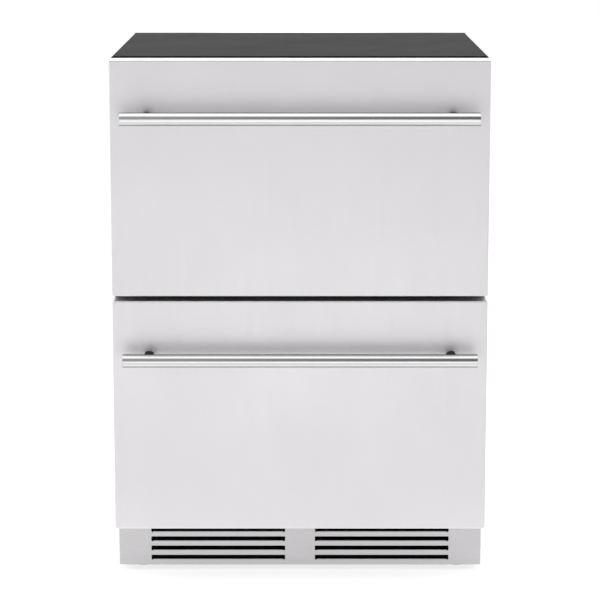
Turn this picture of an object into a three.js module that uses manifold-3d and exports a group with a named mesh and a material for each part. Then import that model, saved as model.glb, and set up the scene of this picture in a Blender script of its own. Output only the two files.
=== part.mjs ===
// Undercounter drawer refrigerator, 24 inch class: a black painted cabinet with two equal stainless drawer
// fronts, bar handles, full-extension slides and a front-vented cooling system behind a louvred toe grille.
// Units are millimetres. +Z is up, -Y is the front, and the origin is on the floor, in the middle of the footprint.

import * as THREE from "three";
import { mergeVertices } from "three/addons/utils/BufferGeometryUtils.js";
import Module from "manifold-3d";

const wasm = await Module();
wasm.setup();

// ---------------------------------------------------------------- driving dimensions
const HALF_W = 303; // half of the 606 mm width, cabinet and drawer fronts alike
const TOP_Z = 864; // top of the cabinet with the legs screwed right in
const CAB_Y = -219; // front plane of the cabinet, where the gaskets seat
const BACK_Y = 331; // outside of the rear panel
const FACE_Y = -275; // outside face of the drawer fronts
const SHEET = 1.2; // cabinet and drawer sheet steel
const GAP = 0.3; // working gap between pieces that touch

const FRONT_H = 380; // height of each drawer front
const LOWER_Z = 94.5; // underside of the lower drawer front
const UPPER_Z = 482; // underside of the upper drawer front: a 7.5 mm gap is left between the two

const CAVITY_HALF_W = 263; // inside of the food liners
const LINER = 1.5; // liner wall
const CAVITY_BACK_Y = 285;
const UPPER_FLOOR_Z = 504;
const UPPER_CEILING_Z = 822;
const LOWER_FLOOR_Z = 128;
const LOWER_CEILING_Z = 452;
const HUMP_Y = 45; // the lower compartment steps up over the machine compartment here
const HUMP_Z = 235;

const HANDLE_R = 10.5; // bar radius
const HANDLE_LEN = 568;
const HANDLE_OFF = 45.5; // bar centre in front of the drawer face
const HANDLE_Z = 291.1; // above the underside of the drawer front
const POST_R = 8;
const POST_X = 244;

const RAIL_LEN_Y = [-200, 248]; // cabinet and middle slide members
const RAIL_Z = 205; // slide centre line above the underside of the drawer front

const KICK_Y = -197; // toe grille face
const KICK_BOTTOM = 10;
const KICK_TOP = 93;
const SLOT_PITCH = 16;
const SLOT_TOP_Z = 27; // top of the lowest louvre slot
const SLOT_H = 7.8;
const SLOT_X = [25, 249];

const LEG_X = 265;
const LEG_FRONT_Y = -150;
const LEG_REAR_Y = 300;

// ---------------------------------------------------------------- materials
const material = (color, roughness, metalness) =>
  new THREE.MeshStandardMaterial({ color, roughness, metalness });
const steelBrushed = material(0xd9d8da, 0.34, 1.0);
const steelHandle = material(0xd2d2d4, 0.22, 1.0);
const steelGrille = material(0xc4c3c5, 0.36, 1.0);
const blackPaint = material(0x2b2b2c, 0.55, 0.1);
const blackPlastic = material(0x161617, 0.6, 0.0);
const gasketRubber = material(0x1c1c1d, 0.7, 0.0);
const linerWhite = material(0xdfe1e2, 0.4, 0.0);
const binSteel = material(0xc9cacc, 0.36, 1.0);
const zincSteel = material(0xb4b6b8, 0.38, 1.0);
const foamCream = material(0xe6d9a8, 0.95, 0.0);
const aluminiumFin = material(0xbfc2c5, 0.42, 1.0);
const coilBlack = material(0x1e1f20, 0.5, 0.4);
const copperTube = material(0xb5714a, 0.35, 1.0);
const compressorBlack = material(0x17181a, 0.4, 0.2);
const lightLens = material(0xf4f6f8, 0.3, 0.0);
const controlGlass = material(0x101214, 0.12, 0.0);
const greyPlastic = material(0x5d6063, 0.6, 0.0);

// ---------------------------------------------------------------- solids
// A closed geometry as a solid, with its faces turned outwards. Coordinates are rounded to 1/1024 mm, so that faces
// drawn flush are exactly flush.
function solidOf(geometry) {
  const g = geometry.index ? geometry.toNonIndexed() : geometry.clone();
  for (const name of Object.keys(g.attributes))
    if (name !== "position") g.deleteAttribute(name);
  const xyz = g.attributes.position.array;
  for (let i = 0; i < xyz.length; i++) xyz[i] = Math.round(xyz[i] * 1024) / 1024;
  const merged = mergeVertices(g, 1e-4);
  const source = merged.index.array;
  const kept = [];
  for (let i = 0; i < source.length; i += 3) {
    const [a, b, c] = [source[i], source[i + 1], source[i + 2]];
    if (a !== b && b !== c && a !== c) kept.push(a, b, c);
  }
  const make = (tri) =>
    new wasm.Manifold(
      new wasm.Mesh({
        numProp: 3,
        vertProperties: new Float32Array(merged.attributes.position.array),
        triVerts: new Uint32Array(tri),
      }),
    );
  const made = make(kept);
  if (made.volume() >= 0) return made;
  for (let i = 0; i < kept.length; i += 3)
    [kept[i + 1], kept[i + 2]] = [kept[i + 2], kept[i + 1]];
  return make(kept);
}

function geometryOf(solid) {
  const mesh = solid.getMesh();
  const n = mesh.numProp;
  const count = mesh.vertProperties.length / n;
  const position = new Float32Array(count * 3);
  for (let i = 0; i < count; i++)
    position.set(mesh.vertProperties.subarray(i * n, i * n + 3), i * 3);
  const g = new THREE.BufferGeometry()
    .setAttribute("position", new THREE.BufferAttribute(position, 3))
    .setIndex(new THREE.BufferAttribute(new Uint32Array(mesh.triVerts), 1));
  g.computeVertexNormals();
  return g;
}

const box = (x0, x1, y0, y1, z0, z1) =>
  solidOf(
    new THREE.BoxGeometry(x1 - x0, y1 - y0, z1 - z0).translate(
      (x0 + x1) / 2,
      (y0 + y1) / 2,
      (z0 + z1) / 2,
    ),
  );

const join = (...parts) => parts.reduce((a, b) => a.add(b));
const cut = (body, ...tools) => tools.reduce((a, b) => a.subtract(b), body);

function outline(points) {
  const s = new THREE.Shape();
  points.forEach(([a, b], i) => (i ? s.lineTo(a, b) : s.moveTo(a, b)));
  s.closePath();
  return s;
}

// A [y, z] outline carried from x0 to x1.
function prismX(points, x0, x1) {
  const g = new THREE.ExtrudeGeometry(outline(points), {
    depth: x1 - x0,
    bevelEnabled: false,
  });
  g.applyMatrix4(
    new THREE.Matrix4().makeBasis(
      new THREE.Vector3(0, 1, 0),
      new THREE.Vector3(0, 0, 1),
      new THREE.Vector3(1, 0, 0),
    ),
  );
  return solidOf(g.translate(x0, 0, 0));
}

// An [x, z] outline carried from y0 to y1.
function prismY(points, y0, y1) {
  const g = new THREE.ExtrudeGeometry(outline(points), {
    depth: y1 - y0,
    bevelEnabled: false,
  });
  return solidOf(g.rotateX(Math.PI / 2).translate(0, y1, 0));
}

function cylinderX(r, x0, x1, y, z, sides = 24) {
  return solidOf(
    new THREE.CylinderGeometry(r, r, x1 - x0, sides)
      .rotateZ(Math.PI / 2)
      .translate((x0 + x1) / 2, y, z),
  );
}

function cylinderY(r, y0, y1, x, z, sides = 24) {
  return solidOf(
    new THREE.CylinderGeometry(r, r, y1 - y0, sides).translate(
      x,
      (y0 + y1) / 2,
      z,
    ),
  );
}

function cylinderZ(r, z0, z1, x, y, sides = 24) {
  return solidOf(
    new THREE.CylinderGeometry(r, r, z1 - z0, sides)
      .rotateX(Math.PI / 2)
      .translate(x, y, (z0 + z1) / 2),
  );
}

// A [radius, height] profile turned about the vertical axis.
function turned(profile, sides = 24) {
  const g = new THREE.LatheGeometry(
    profile.map(([r, z]) => new THREE.Vector2(r, z)),
    sides,
  );
  return solidOf(g.rotateX(Math.PI / 2));
}

// A round tube, solid inside, along a smooth line through the points.
function tubeAlong(points, r, steps, sides = 8) {
  const path = new THREE.CatmullRomCurve3(
    points.map((p) => new THREE.Vector3(...p)),
    false,
    "centripetal",
  );
  const ring = new THREE.Shape();
  for (let i = 0; i < sides; i++) {
    const a = (i / sides) * 2 * Math.PI;
    if (i) ring.lineTo(r * Math.cos(a), r * Math.sin(a));
    else ring.moveTo(r, 0);
  }
  ring.closePath();
  return solidOf(
    new THREE.ExtrudeGeometry(ring, {
      steps,
      extrudePath: path,
      bevelEnabled: false,
    }),
  );
}

function piece(group, name, solid, look) {
  const mesh = new THREE.Mesh(geometryOf(solid), look);
  mesh.name = name;
  group.add(mesh);
  return mesh;
}

// ---------------------------------------------------------------- cabinet
const cabinet = new THREE.Group();

// Wrapper: both sides and the top in one bent sheet, with a flange turned in at the front. The toe recess is cut
// out of the lower front corner of each side.
piece(
  cabinet,
  "cabinet_wrapper",
  cut(
    box(-HALF_W, HALF_W, CAB_Y, BACK_Y - 1.5, 14, TOP_Z),
    box(-HALF_W + SHEET, HALF_W - SHEET, CAB_Y + SHEET, 400, 0, TOP_Z - SHEET),
    box(-281, 281, CAB_Y - 10, CAB_Y + 5, 0, 840),
    box(-400, 400, CAB_Y - 10, -181, 0, LOWER_Z),
  ),
  blackPaint,
);

piece(
  cabinet,
  "rear_panel",
  box(-HALF_W, HALF_W, BACK_Y - SHEET, BACK_Y, 207.3, TOP_Z),
  zincSteel,
);

// Cover of the machine compartment, with two banks of upright vents and a cut-out for the power inlet.
{
  const slots = [];
  for (let i = 0; i < 10; i++) {
    slots.push(box(50 + i * 22, 56 + i * 22, 325, 335, 100, 180));
    if (i < 8) slots.push(box(-200 + i * 22, -194 + i * 22, 325, 335, 100, 180));
  }
  piece(
    cabinet,
    "machine_cover",
    cut(
      box(-HALF_W, HALF_W, BACK_Y - SHEET, BACK_Y, 14, 207),
      box(-262, -232, 325, 335, 54, 78),
      ...slots,
    ),
    zincSteel,
  );
}

// Base pan, with a threaded boss for each levelling leg.
{
  const bosses = [];
  const holes = [];
  for (const sx of [-1, 1])
    for (const y of [LEG_FRONT_Y, LEG_REAR_Y]) {
      bosses.push(cylinderZ(11, 12, 34, sx * LEG_X, y, 14));
      holes.push(cylinderZ(6.5, 5, 60, sx * LEG_X, y, 12));
    }
  piece(
    cabinet,
    "base_pan",
    cut(
      join(
        box(-301.4, 301.4, -186.5, 329.3, 12, 13.2),
        box(-301.4, -300.2, -180, 329.3, 12, 42),
        box(300.2, 301.4, -180, 329.3, 12, 42),
        box(-300, 300, -186.5, -185.3, 12, 30),
        box(-301.4, 301.4, 328.1, 329.3, 12, 42),
        ...bosses,
      ),
      ...holes,
      box(-266, -228, 325, 335, 40, 90),
    ),
    blackPaint,
  );
}

// Bent floor sheet of the insulated box: front rail, floor, and the wall and roof of the machine compartment.
piece(
  cabinet,
  "cabinet_floor",
  cut(
    join(
      box(-280.7, 280.7, CAB_Y, CAB_Y + 1.6, 94.8, 126.2),
      box(-280.7, 280.7, CAB_Y, -210, 94.8, 96),
      box(-301.4, 301.4, CAB_Y + 1.5, 81.5, 94.8, 96),
      box(-301.4, 301.4, 80.3, 81.5, 94.8, 201),
      box(-301.4, 301.4, 80.3, 329.3, 199.8, 201),
    ),
    box(177, 206, 287, 309, 190, 210),
  ),
  blackPaint,
);

// Foamed insulation between the wrapper and the liners, with a channel for the refrigerant lines.
{
  const lower = [
    [CAB_Y - 1, 126.2],
    [46.8, 126.2],
    [46.8, 233.2],
    [286.8, 233.2],
    [286.8, 453.8],
    [CAB_Y - 1, 453.8],
  ];
  piece(
    cabinet,
    "cabinet_foam",
    cut(
      box(-301.4, 301.4, CAB_Y + 2, 329.3, 96.4, TOP_Z - 1.6),
      box(-264.8, 264.8, CAB_Y - 1, 286.8, 502.2, 823.8),
      prismX(lower, -264.8, 264.8),
      box(-281.2, 281.2, CAB_Y - 1, CAB_Y + 16, 453.4, 502.6),
      box(-302, 302, 80, 331, 90, 201.4),
      box(176, 208, 280, 310, 195, 636),
    ),
    foamCream,
  );
}

// Food liners: open at the front, with a lip that meets the wrapper flange.
piece(
  cabinet,
  "upper_liner",
  cut(
    join(
      box(
        -CAVITY_HALF_W - LINER,
        CAVITY_HALF_W + LINER,
        CAB_Y,
        CAVITY_BACK_Y + LINER,
        UPPER_FLOOR_Z - LINER,
        UPPER_CEILING_Z + LINER,
      ),
      box(-280.7, 280.7, CAB_Y, CAB_Y + 1.5, UPPER_FLOOR_Z - LINER, 839.7),
    ),
    box(
      -CAVITY_HALF_W,
      CAVITY_HALF_W,
      CAB_Y - 5,
      CAVITY_BACK_Y,
      UPPER_FLOOR_Z,
      UPPER_CEILING_Z,
    ),
    box(177, 207, 280, 300, 594, 632),
  ),
  linerWhite,
);
{
  const grow = (d) => [
    [CAB_Y, LOWER_FLOOR_Z - d],
    [HUMP_Y + d, LOWER_FLOOR_Z - d],
    [HUMP_Y + d, HUMP_Z - d],
    [CAVITY_BACK_Y + d, HUMP_Z - d],
    [CAVITY_BACK_Y + d, LOWER_CEILING_Z + d],
    [CAB_Y, LOWER_CEILING_Z + d],
  ];
  const cavity = grow(0);
  cavity[0][0] = cavity[5][0] = CAB_Y - 5;
  piece(
    cabinet,
    "lower_liner",
    cut(
      join(
        prismX(grow(LINER), -CAVITY_HALF_W - LINER, CAVITY_HALF_W + LINER),
        box(
          -280.7,
          280.7,
          CAB_Y,
          CAB_Y + 1.5,
          LOWER_FLOOR_Z - LINER,
          LOWER_CEILING_Z + LINER,
        ),
      ),
      prismX(cavity, -CAVITY_HALF_W, CAVITY_HALF_W),
    ),
    linerWhite,
  );
}

// Channel between the two compartments: the lower gasket of one drawer and the upper gasket of the other seat on it.
piece(
  cabinet,
  "mullion_rail",
  join(
    box(-280.7, 280.7, CAB_Y, CAB_Y + 1.5, 453.8, 502.2),
    box(-280.7, 280.7, CAB_Y, CAB_Y + 15, 453.8, 455),
    box(-280.7, 280.7, CAB_Y, CAB_Y + 15, 501, 502.2),
  ),
  blackPaint,
);

// Toe grille: a pan of brushed steel with two banks of four louvre slots. Each slot's lower edge is a short flange
// bent inwards and down, with a relief notch at each end.
{
  const holes = [];
  const flanges = [];
  for (const s of [-1, 1])
    for (let row = 0; row < 4; row++) {
      const top = SLOT_TOP_Z + row * SLOT_PITCH;
      const low = top - SLOT_H;
      const [a, b] =
        s > 0 ? [SLOT_X[0], SLOT_X[1]] : [-SLOT_X[1], -SLOT_X[0]];
      holes.push(box(a, b, KICK_Y - 3, KICK_Y + 3, low, top));
      flanges.push(
        prismX(
          [
            [KICK_Y + 0.2, low - 0.6],
            [KICK_Y + 0.2, low + 1.4],
            [KICK_Y + 0.8, low + 1.9],
            [KICK_Y + 1.8, low + 1.9],
            [KICK_Y + 6.6, low - 2],
            [KICK_Y + 5.8, low - 2.9],
            [KICK_Y + 1.4, low + 0.6],
            [KICK_Y + 1.2, low - 0.6],
          ],
          a + 3,
          b - 3,
        ),
      );
    }
  piece(
    cabinet,
    "toe_grille",
    join(
      cut(
        box(-HALF_W, HALF_W, KICK_Y, -181.4, KICK_BOTTOM, KICK_TOP),
        box(
          -HALF_W + 1.5,
          HALF_W - 1.5,
          KICK_Y + 1.5,
          -170,
          KICK_BOTTOM + 1.5,
          KICK_TOP - 1.5,
        ),
        box(-HALF_W + 1.5, HALF_W - 1.5, -187, -170, 0, 100),
        ...holes,
      ),
      ...flanges,
    ),
    steelGrille,
  );
}

// Cover of the evaporator at the back of the upper compartment: air goes in through the low slots and comes out
// through the round fan grille.
{
  const slots = [];
  for (let i = 0; i < 4; i++)
    slots.push(box(-200, 200, 250, 257, 522 + i * 12, 527 + i * 12));
  for (let i = -4; i <= 4; i++) {
    const half = Math.sqrt(46 * 46 - i * 10 * i * 10);
    slots.push(box(-half, half, 250, 257, 737.5 + i * 10, 742.5 + i * 10));
  }
  piece(
    cabinet,
    "evaporator_cover",
    cut(box(-262.6, 262.6, 253, 254.5, 504.4, 821.6), ...slots),
    linerWhite,
  );
}

{
  const grooves = [];
  for (let i = 0; i < 17; i++)
    grooves.push(
      box(-219 + i * 24, -207 + i * 24, 255, 262, 530, 660),
      box(-219 + i * 24, -207 + i * 24, 276, 284, 530, 660),
    );
  piece(
    cabinet,
    "evaporator_coil",
    join(
      cut(box(-230, 190, 257.5, 281, 540, 650), ...grooves),
      cylinderX(3, 185, 193.5, 270, 620, 12),
      cylinderX(2.5, 185, 193.5, 270, 606, 12),
    ),
    aluminiumFin,
  );
}

piece(
  cabinet,
  "evaporator_fan_motor",
  join(
    cylinderY(17, 277.5, 284.6, 0, 740, 24),
    cylinderY(2, 268, 280, 0, 740, 12),
  ),
  greyPlastic,
);

piece(
  cabinet,
  "lower_air_outlet",
  cut(
    box(-90, 90, 281, 284.7, 395, 437),
    box(-80, 80, 279, 283, 401, 407),
    box(-80, 80, 279, 283, 413, 419),
    box(-80, 80, 279, 283, 425, 431),
  ),
  linerWhite,
);

// Light strips under the ceiling of each compartment.
for (const [name, ceiling] of [
  ["upper_light", UPPER_CEILING_Z],
  ["lower_light", LOWER_CEILING_Z],
])
  piece(
    cabinet,
    name,
    prismX(
      [
        [-186, ceiling - GAP],
        [-164, ceiling - GAP],
        [-168, ceiling - 7],
        [-182, ceiling - 7],
      ],
      -150,
      150,
    ),
    lightLens,
  );

piece(
  cabinet,
  "control_panel",
  prismX(
    [
      [-203, UPPER_CEILING_Z - GAP],
      [-158, UPPER_CEILING_Z - GAP],
      [-158, 815],
      [-190, 805],
      [-203, 812],
    ],
    165,
    250,
  ),
  controlGlass,
);

// Power inlet: a moulded socket behind the cut-out of the machine cover.
piece(
  cabinet,
  "power_inlet",
  cut(
    join(
      box(-260, -234, 306, 329.3, 56, 76),
      box(-264, -230, 326.2, 327.8, 52, 80),
    ),
    box(-258, -236, 312, 335, 58.5, 73.5),
  ),
  blackPlastic,
);

// ---------------------------------------------------------------- cooling system
const cooling = new THREE.Group();

// Hermetic compressor: pressed shell with a weld seam, foot plate, terminal box and pipe stubs.
{
  const shell = turned(
    [
      [0, 36],
      [40, 38],
      [62, 48],
      [74, 66],
      [76, 100],
      [80, 102],
      [80, 106],
      [76, 108],
      [74, 146],
      [60, 168],
      [36, 178],
      [0, 180],
    ],
    22,
  )
    .scale([1, 0.88, 1])
    .translate([140, 205, 0]);
  piece(
    cooling,
    "compressor",
    join(
      shell,
      box(55, 225, 150, 260, 26, 29),
      box(95, 185, 165, 245, 26, 50),
      cylinderZ(9, 13.5, 27, 66, 160, 12),
      cylinderZ(9, 13.5, 27, 66, 250, 12),
      cylinderZ(9, 13.5, 27, 214, 160, 12),
      cylinderZ(9, 13.5, 27, 214, 250, 12),
      box(110, 170, 128, 160, 80, 130),
      cylinderY(5, 250, 272, 175, 130, 12),
      cylinderX(4, 48, 80, 205, 130, 12),
    ),
    compressorBlack,
  );
}

{
  const grooves = [];
  for (let i = 0; i < 15; i++)
    grooves.push(
      box(-241 + i * 14, -234 + i * 14, -175, -164, 20, 82),
      box(-241 + i * 14, -234 + i * 14, -142, -130, 20, 82),
    );
  piece(
    cooling,
    "condenser_coil",
    cut(box(-248, -26, -172, -134, 14, 88), ...grooves),
    coilBlack,
  );
}

const CFAN_X = -137;
const CFAN_Z = 51;
piece(
  cooling,
  "condenser_fan_shroud",
  join(
    cut(
      join(
        box(-248, -26, -133.5, -131.5, 14, 88),
        cylinderY(36, -133.5, -106, CFAN_X, CFAN_Z, 32),
      ),
      cylinderY(34, -140, -100, CFAN_X, CFAN_Z, 32),
    ),
    cylinderY(15, -121, -106, CFAN_X, CFAN_Z, 24),
    box(CFAN_X - 35, CFAN_X + 35, -109, -106.2, CFAN_Z - 3, CFAN_Z + 3),
    box(CFAN_X - 3, CFAN_X + 3, -109, -106.2, CFAN_Z - 35, CFAN_Z + 35),
    cylinderY(2, -126, -115, CFAN_X, CFAN_Z, 12),
  ),
  blackPlastic,
);

// An axial fan wheel about the Y axis, in its own frame. The hub's bore clears the motor shaft.
function fanWheel(r, hub, depth, blades) {
  const parts = [cylinderY(hub, -depth / 2, depth / 2, 0, 0, 24)];
  for (let i = 0; i < blades; i++) {
    const blade = new THREE.BoxGeometry(r - hub + 3, 1.6, r * 0.62);
    blade.rotateX(0.5);
    blade.translate((r + hub) / 2 - 1.5, 0, 0);
    blade.rotateY((i / blades) * 2 * Math.PI);
    parts.push(solidOf(blade));
  }
  return join(...parts)
    .intersect(cylinderY(r, -depth / 2, depth / 2, 0, 0, 40))
    .subtract(cylinderY(2.5, -1, depth, 0, 0, 12));
}
{
  const wheel = piece(
    cooling,
    "condenser_fan_wheel",
    fanWheel(32, 11, 8, 5),
    greyPlastic,
  );
  wheel.position.set(CFAN_X, -126.5, CFAN_Z);
}
{
  const wheel = piece(
    cooling,
    "evaporator_fan_wheel",
    fanWheel(44, 15, 14, 6),
    greyPlastic,
  );
  wheel.position.set(0, 267.5, 740);
}

piece(
  cooling,
  "drain_pan",
  cut(box(-285, -70, 95, 230, 14, 46), box(-283, -72, 97, 228, 16, 50)),
  blackPlastic,
);
piece(
  cooling,
  "electronics_box",
  join(
    box(-212, -92, 242, 318, 13.6, 92),
    box(-218, -86, 250, 310, 13.6, 17),
  ),
  greyPlastic,
);

piece(
  cooling,
  "discharge_line",
  tubeAlong(
    [
      [47.2, 205, 130],
      [38, 205, 130],
      [20, 186, 108],
      [14, 120, 62],
      [10, 40, 60],
      [2, -60, 70],
      [-8, -130, 76],
      [-14, -151, 76],
      [-25.2, -151, 76],
    ],
    3,
    24,
  ),
  copperTube,
);
piece(
  cooling,
  "liquid_line",
  join(
    tubeAlong(
      [
        [-25.2, -151, 26],
        [-8, -151, 26],
        [20, -120, 26],
        [28, -40, 26],
        [30, 60, 26],
        [30, 130, 28],
        [30, 190, 28],
        [34, 240, 30],
        [60, 280, 45],
        [140, 299, 90],
        [176, 299, 140],
        [184, 298, 185],
        [184, 298, 300],
        [184, 298, 580],
        [190, 294, 602],
        [197, 283, 606],
        [197, 272, 606],
      ],
      2.4,
      56,
    ),
    cylinderY(9, 95, 175, 30, 27.5, 16),
  ),
  copperTube,
);
piece(
  cooling,
  "suction_line",
  tubeAlong(
    [
      [175, 272.4, 130],
      [175, 281, 130],
      [181, 292, 138],
      [198, 298, 162],
      [198, 298, 200],
      [198, 298, 300],
      [198, 298, 590],
      [198, 292, 614],
      [198, 272, 620],
    ],
    3.6,
    34,
  ),
  copperTube,
);

// ---------------------------------------------------------------- levelling legs
const legs = new THREE.Group();
for (const [name, sx, y] of [
  ["front_left_leg", -1, LEG_FRONT_Y],
  ["front_right_leg", 1, LEG_FRONT_Y],
  ["rear_left_leg", -1, LEG_REAR_Y],
  ["rear_right_leg", 1, LEG_REAR_Y],
]) {
  const foot = turned(
    [
      [0, 0],
      [17, 0],
      [18, 1.5],
      [18, 5],
      [9.5, 7],
      [9.5, 10.5],
      [6, 10.5],
      [6, 51],
      [5, 52],
      [0, 52],
    ],
    14,
  );
  const mesh = piece(legs, name, foot, zincSteel);
  mesh.position.set(sx * LEG_X, y, 0);
}

// ---------------------------------------------------------------- slides
// Each slide has three channels. Profiles are [distance inwards from the liner wall, height from the centre line].
const channel = (wall, lipTo, half, t) => {
  const [w0, w1] = wall; // web between these, measured as |x|
  const outward = lipTo < w0; // lips run towards the drawer
  const a = outward ? w1 : w0;
  const b = outward ? w0 : w1;
  return [
    [a, -half],
    [lipTo, -half],
    [lipTo, -half + t],
    [b, -half + t],
    [b, half - t],
    [lipTo, half - t],
    [lipTo, half],
    [a, half],
  ];
};
const CABINET_MEMBER = channel([261.5, 262.7], 250.6, 22.5, SHEET);
const MIDDLE_MEMBER = channel([258.6, 259.8], 250.6, 18.5, SHEET);
const DRAWER_MEMBER = channel([247.8, 249], 257, 14.5, SHEET);
const mirrored = (points, s) => points.map(([x, z]) => [s * x, z]);

for (const [level, z] of [
  ["upper", UPPER_Z + RAIL_Z],
  ["lower", LOWER_Z + RAIL_Z],
])
  for (const [hand, s] of [
    ["left", -1],
    ["right", 1],
  ]) {
    const [y0, y1] = RAIL_LEN_Y;
    piece(
      cabinet,
      `${level}_${hand}_cabinet_rail`,
      prismY(mirrored(CABINET_MEMBER, s), y0, y1),
      zincSteel,
    ).position.z = z;
    piece(
      cabinet,
      `${level}_${hand}_middle_rail`,
      prismY(mirrored(MIDDLE_MEMBER, s), y0, y1),
      zincSteel,
    ).position.z = z;
  }

// ---------------------------------------------------------------- drawers
// Heights in a drawer are above the underside of its front.
function drawer(level, bin) {
  const g = new THREE.Group();
  const inner = HALF_W - SHEET;

  // Outer skin: a stainless pan with a hem turned in at the back.
  piece(
    g,
    `${level}_front_skin`,
    cut(
      box(-HALF_W, HALF_W, FACE_Y, -226.5, 0, FRONT_H),
      box(
        -inner,
        inner,
        FACE_Y + SHEET,
        -226.5 - SHEET,
        SHEET,
        FRONT_H - SHEET,
      ),
      box(-291, 291, -235, -220, 12, FRONT_H - 12),
    ),
    steelBrushed,
  );
  piece(
    g,
    `${level}_front_foam`,
    join(
      box(-301.4, 301.4, FACE_Y + 1.6, -228.2, 1.6, FRONT_H - 1.6),
      box(-252.6, 252.6, -229, -208.4, 42.4, 329.6),
    ),
    foamCream,
  );
  // Inner panel with a raised plinth that enters the compartment.
  piece(
    g,
    `${level}_front_liner`,
    cut(
      join(
        box(-300.5, 300.5, -226.2, -224.7, 2.5, FRONT_H - 2.5),
        box(-255, 255, -226.2, -206, 40, 332),
      ),
      box(-253, 253, -228, -208, 42, 330),
    ),
    linerWhite,
  );
  piece(
    g,
    `${level}_gasket`,
    cut(
      box(-299.5, 299.5, -224.4, CAB_Y - GAP, 2.5, FRONT_H - 2.5),
      box(-283.5, 283.5, -230, -210, 18.5, FRONT_H - 18.5),
    ),
    gasketRubber,
  );

  const barY = FACE_Y - HANDLE_OFF;
  const bar = turned(
    [
      [0, -HANDLE_LEN / 2],
      [HANDLE_R - 0.8, -HANDLE_LEN / 2],
      [HANDLE_R, -HANDLE_LEN / 2 + 0.8],
      [HANDLE_R, HANDLE_LEN / 2 - 0.8],
      [HANDLE_R - 0.8, HANDLE_LEN / 2],
      [0, HANDLE_LEN / 2],
    ],
    32,
  )
    .rotate([0, 90, 0])
    .translate([0, barY, HANDLE_Z]);
  piece(g, `${level}_handle_bar`, bar, steelHandle);
  for (const [hand, s] of [
    ["left", -1],
    ["right", 1],
  ])
    piece(
      g,
      `${level}_${hand}_handle_post`,
      cut(
        cylinderY(POST_R, barY + 4, FACE_Y - GAP, s * POST_X, HANDLE_Z, 24),
        cylinderX(
          HANDLE_R + GAP,
          -HANDLE_LEN,
          HANDLE_LEN,
          barY,
          HANDLE_Z,
          64,
        ),
      ),
      steelHandle,
    );

  // Bin: bent stainless sheet with a rim that turns outwards over the slides.
  const shell = prismX(bin.outer, -247.5, 247.5);
  const hollow = prismX(bin.inner, -247.5 + SHEET, 247.5 - SHEET);
  piece(
    g,
    `${level}_bin`,
    cut(
      join(
        shell,
        box(-257, 257, -205.7, 250, bin.rim - SHEET, bin.rim),
      ),
      hollow,
    ),
    binSteel,
  );

  for (const [hand, s] of [
    ["left", -1],
    ["right", 1],
  ])
    piece(
      g,
      `${level}_${hand}_drawer_rail`,
      prismY(mirrored(DRAWER_MEMBER, s), -205.6, RAIL_LEN_Y[1]),
      zincSteel,
    ).position.z = RAIL_Z;
  return g;
}

// The upper bin is a plain box. The lower one steps up at the back, to clear the machine compartment.
const upperDrawer = drawer("upper", {
  rim: 278,
  outer: [
    [-205.7, 34],
    [245, 34],
    [245, 278],
    [-205.7, 278],
  ],
  inner: [
    [-204.5, 35.2],
    [243.8, 35.2],
    [243.8, 300],
    [-204.5, 300],
  ],
});
upperDrawer.position.z = UPPER_Z;

const lowerDrawer = drawer("lower", {
  rim: 290,
  outer: [
    [-205.7, 45.5],
    [34, 45.5],
    [34, 152.5],
    [245, 152.5],
    [245, 290],
    [-205.7, 290],
  ],
  inner: [
    [-204.5, 46.7],
    [32.8, 46.7],
    [32.8, 153.7],
    [243.8, 153.7],
    [243.8, 310],
    [-204.5, 310],
  ],
});
lowerDrawer.position.z = LOWER_Z;

const refrigerator = new THREE.Group();
refrigerator.add(cabinet, cooling, legs, upperDrawer, lowerDrawer);

export default refrigerator;
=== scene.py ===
"""Undercounter drawer refrigerator: the finished surfaces, materials, light and camera.

Lengths in the modelling code are millimetres, in the row frame: +Z up, -Y the front, origin on the floor.
"""

import math

import bmesh
import bpy
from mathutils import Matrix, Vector
from mathutils.geometry import delaunay_2d_cdt


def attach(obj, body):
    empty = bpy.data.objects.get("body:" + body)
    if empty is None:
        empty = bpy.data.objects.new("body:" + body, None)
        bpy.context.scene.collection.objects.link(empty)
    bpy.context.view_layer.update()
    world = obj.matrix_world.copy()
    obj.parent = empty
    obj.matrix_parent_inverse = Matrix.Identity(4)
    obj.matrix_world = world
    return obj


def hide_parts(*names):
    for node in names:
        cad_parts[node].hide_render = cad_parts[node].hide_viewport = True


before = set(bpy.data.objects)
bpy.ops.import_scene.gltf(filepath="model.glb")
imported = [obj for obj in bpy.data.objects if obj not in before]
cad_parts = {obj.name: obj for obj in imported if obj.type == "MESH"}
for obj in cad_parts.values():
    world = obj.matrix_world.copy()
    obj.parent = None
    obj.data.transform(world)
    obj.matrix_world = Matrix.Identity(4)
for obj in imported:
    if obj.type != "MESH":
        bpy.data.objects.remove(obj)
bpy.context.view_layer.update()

MM = 0.001

# ================================================================ mesh code
AXES = {
    "x": lambda a, b, h: (h, a, b),
    "y": lambda a, b, h: (a, h, b),
    "z": lambda a, b, h: (a, b, h),
}


class Shape:
    """Closed surfaces gathered into one mesh. Points of one surface that coincide are welded."""

    def __init__(self):
        self.v = []
        self.f = []
        self.m = []

    def add(self, made, material=0):
        verts, faces = made
        seen, index = {}, []
        for p in verts:
            key = tuple(round(c, 4) for c in p)
            if key not in seen:
                seen[key] = len(self.v)
                self.v.append(key)
            index.append(seen[key])
        for face in faces:
            loop = []
            for i in face:
                j = index[i]
                if not loop or loop[-1] != j:
                    loop.append(j)
            while len(loop) > 1 and loop[0] == loop[-1]:
                loop.pop()
            if len(set(loop)) == len(loop) and len(loop) > 2:
                self.f.append(tuple(loop))
                self.m.append(material)
        return self


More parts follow.
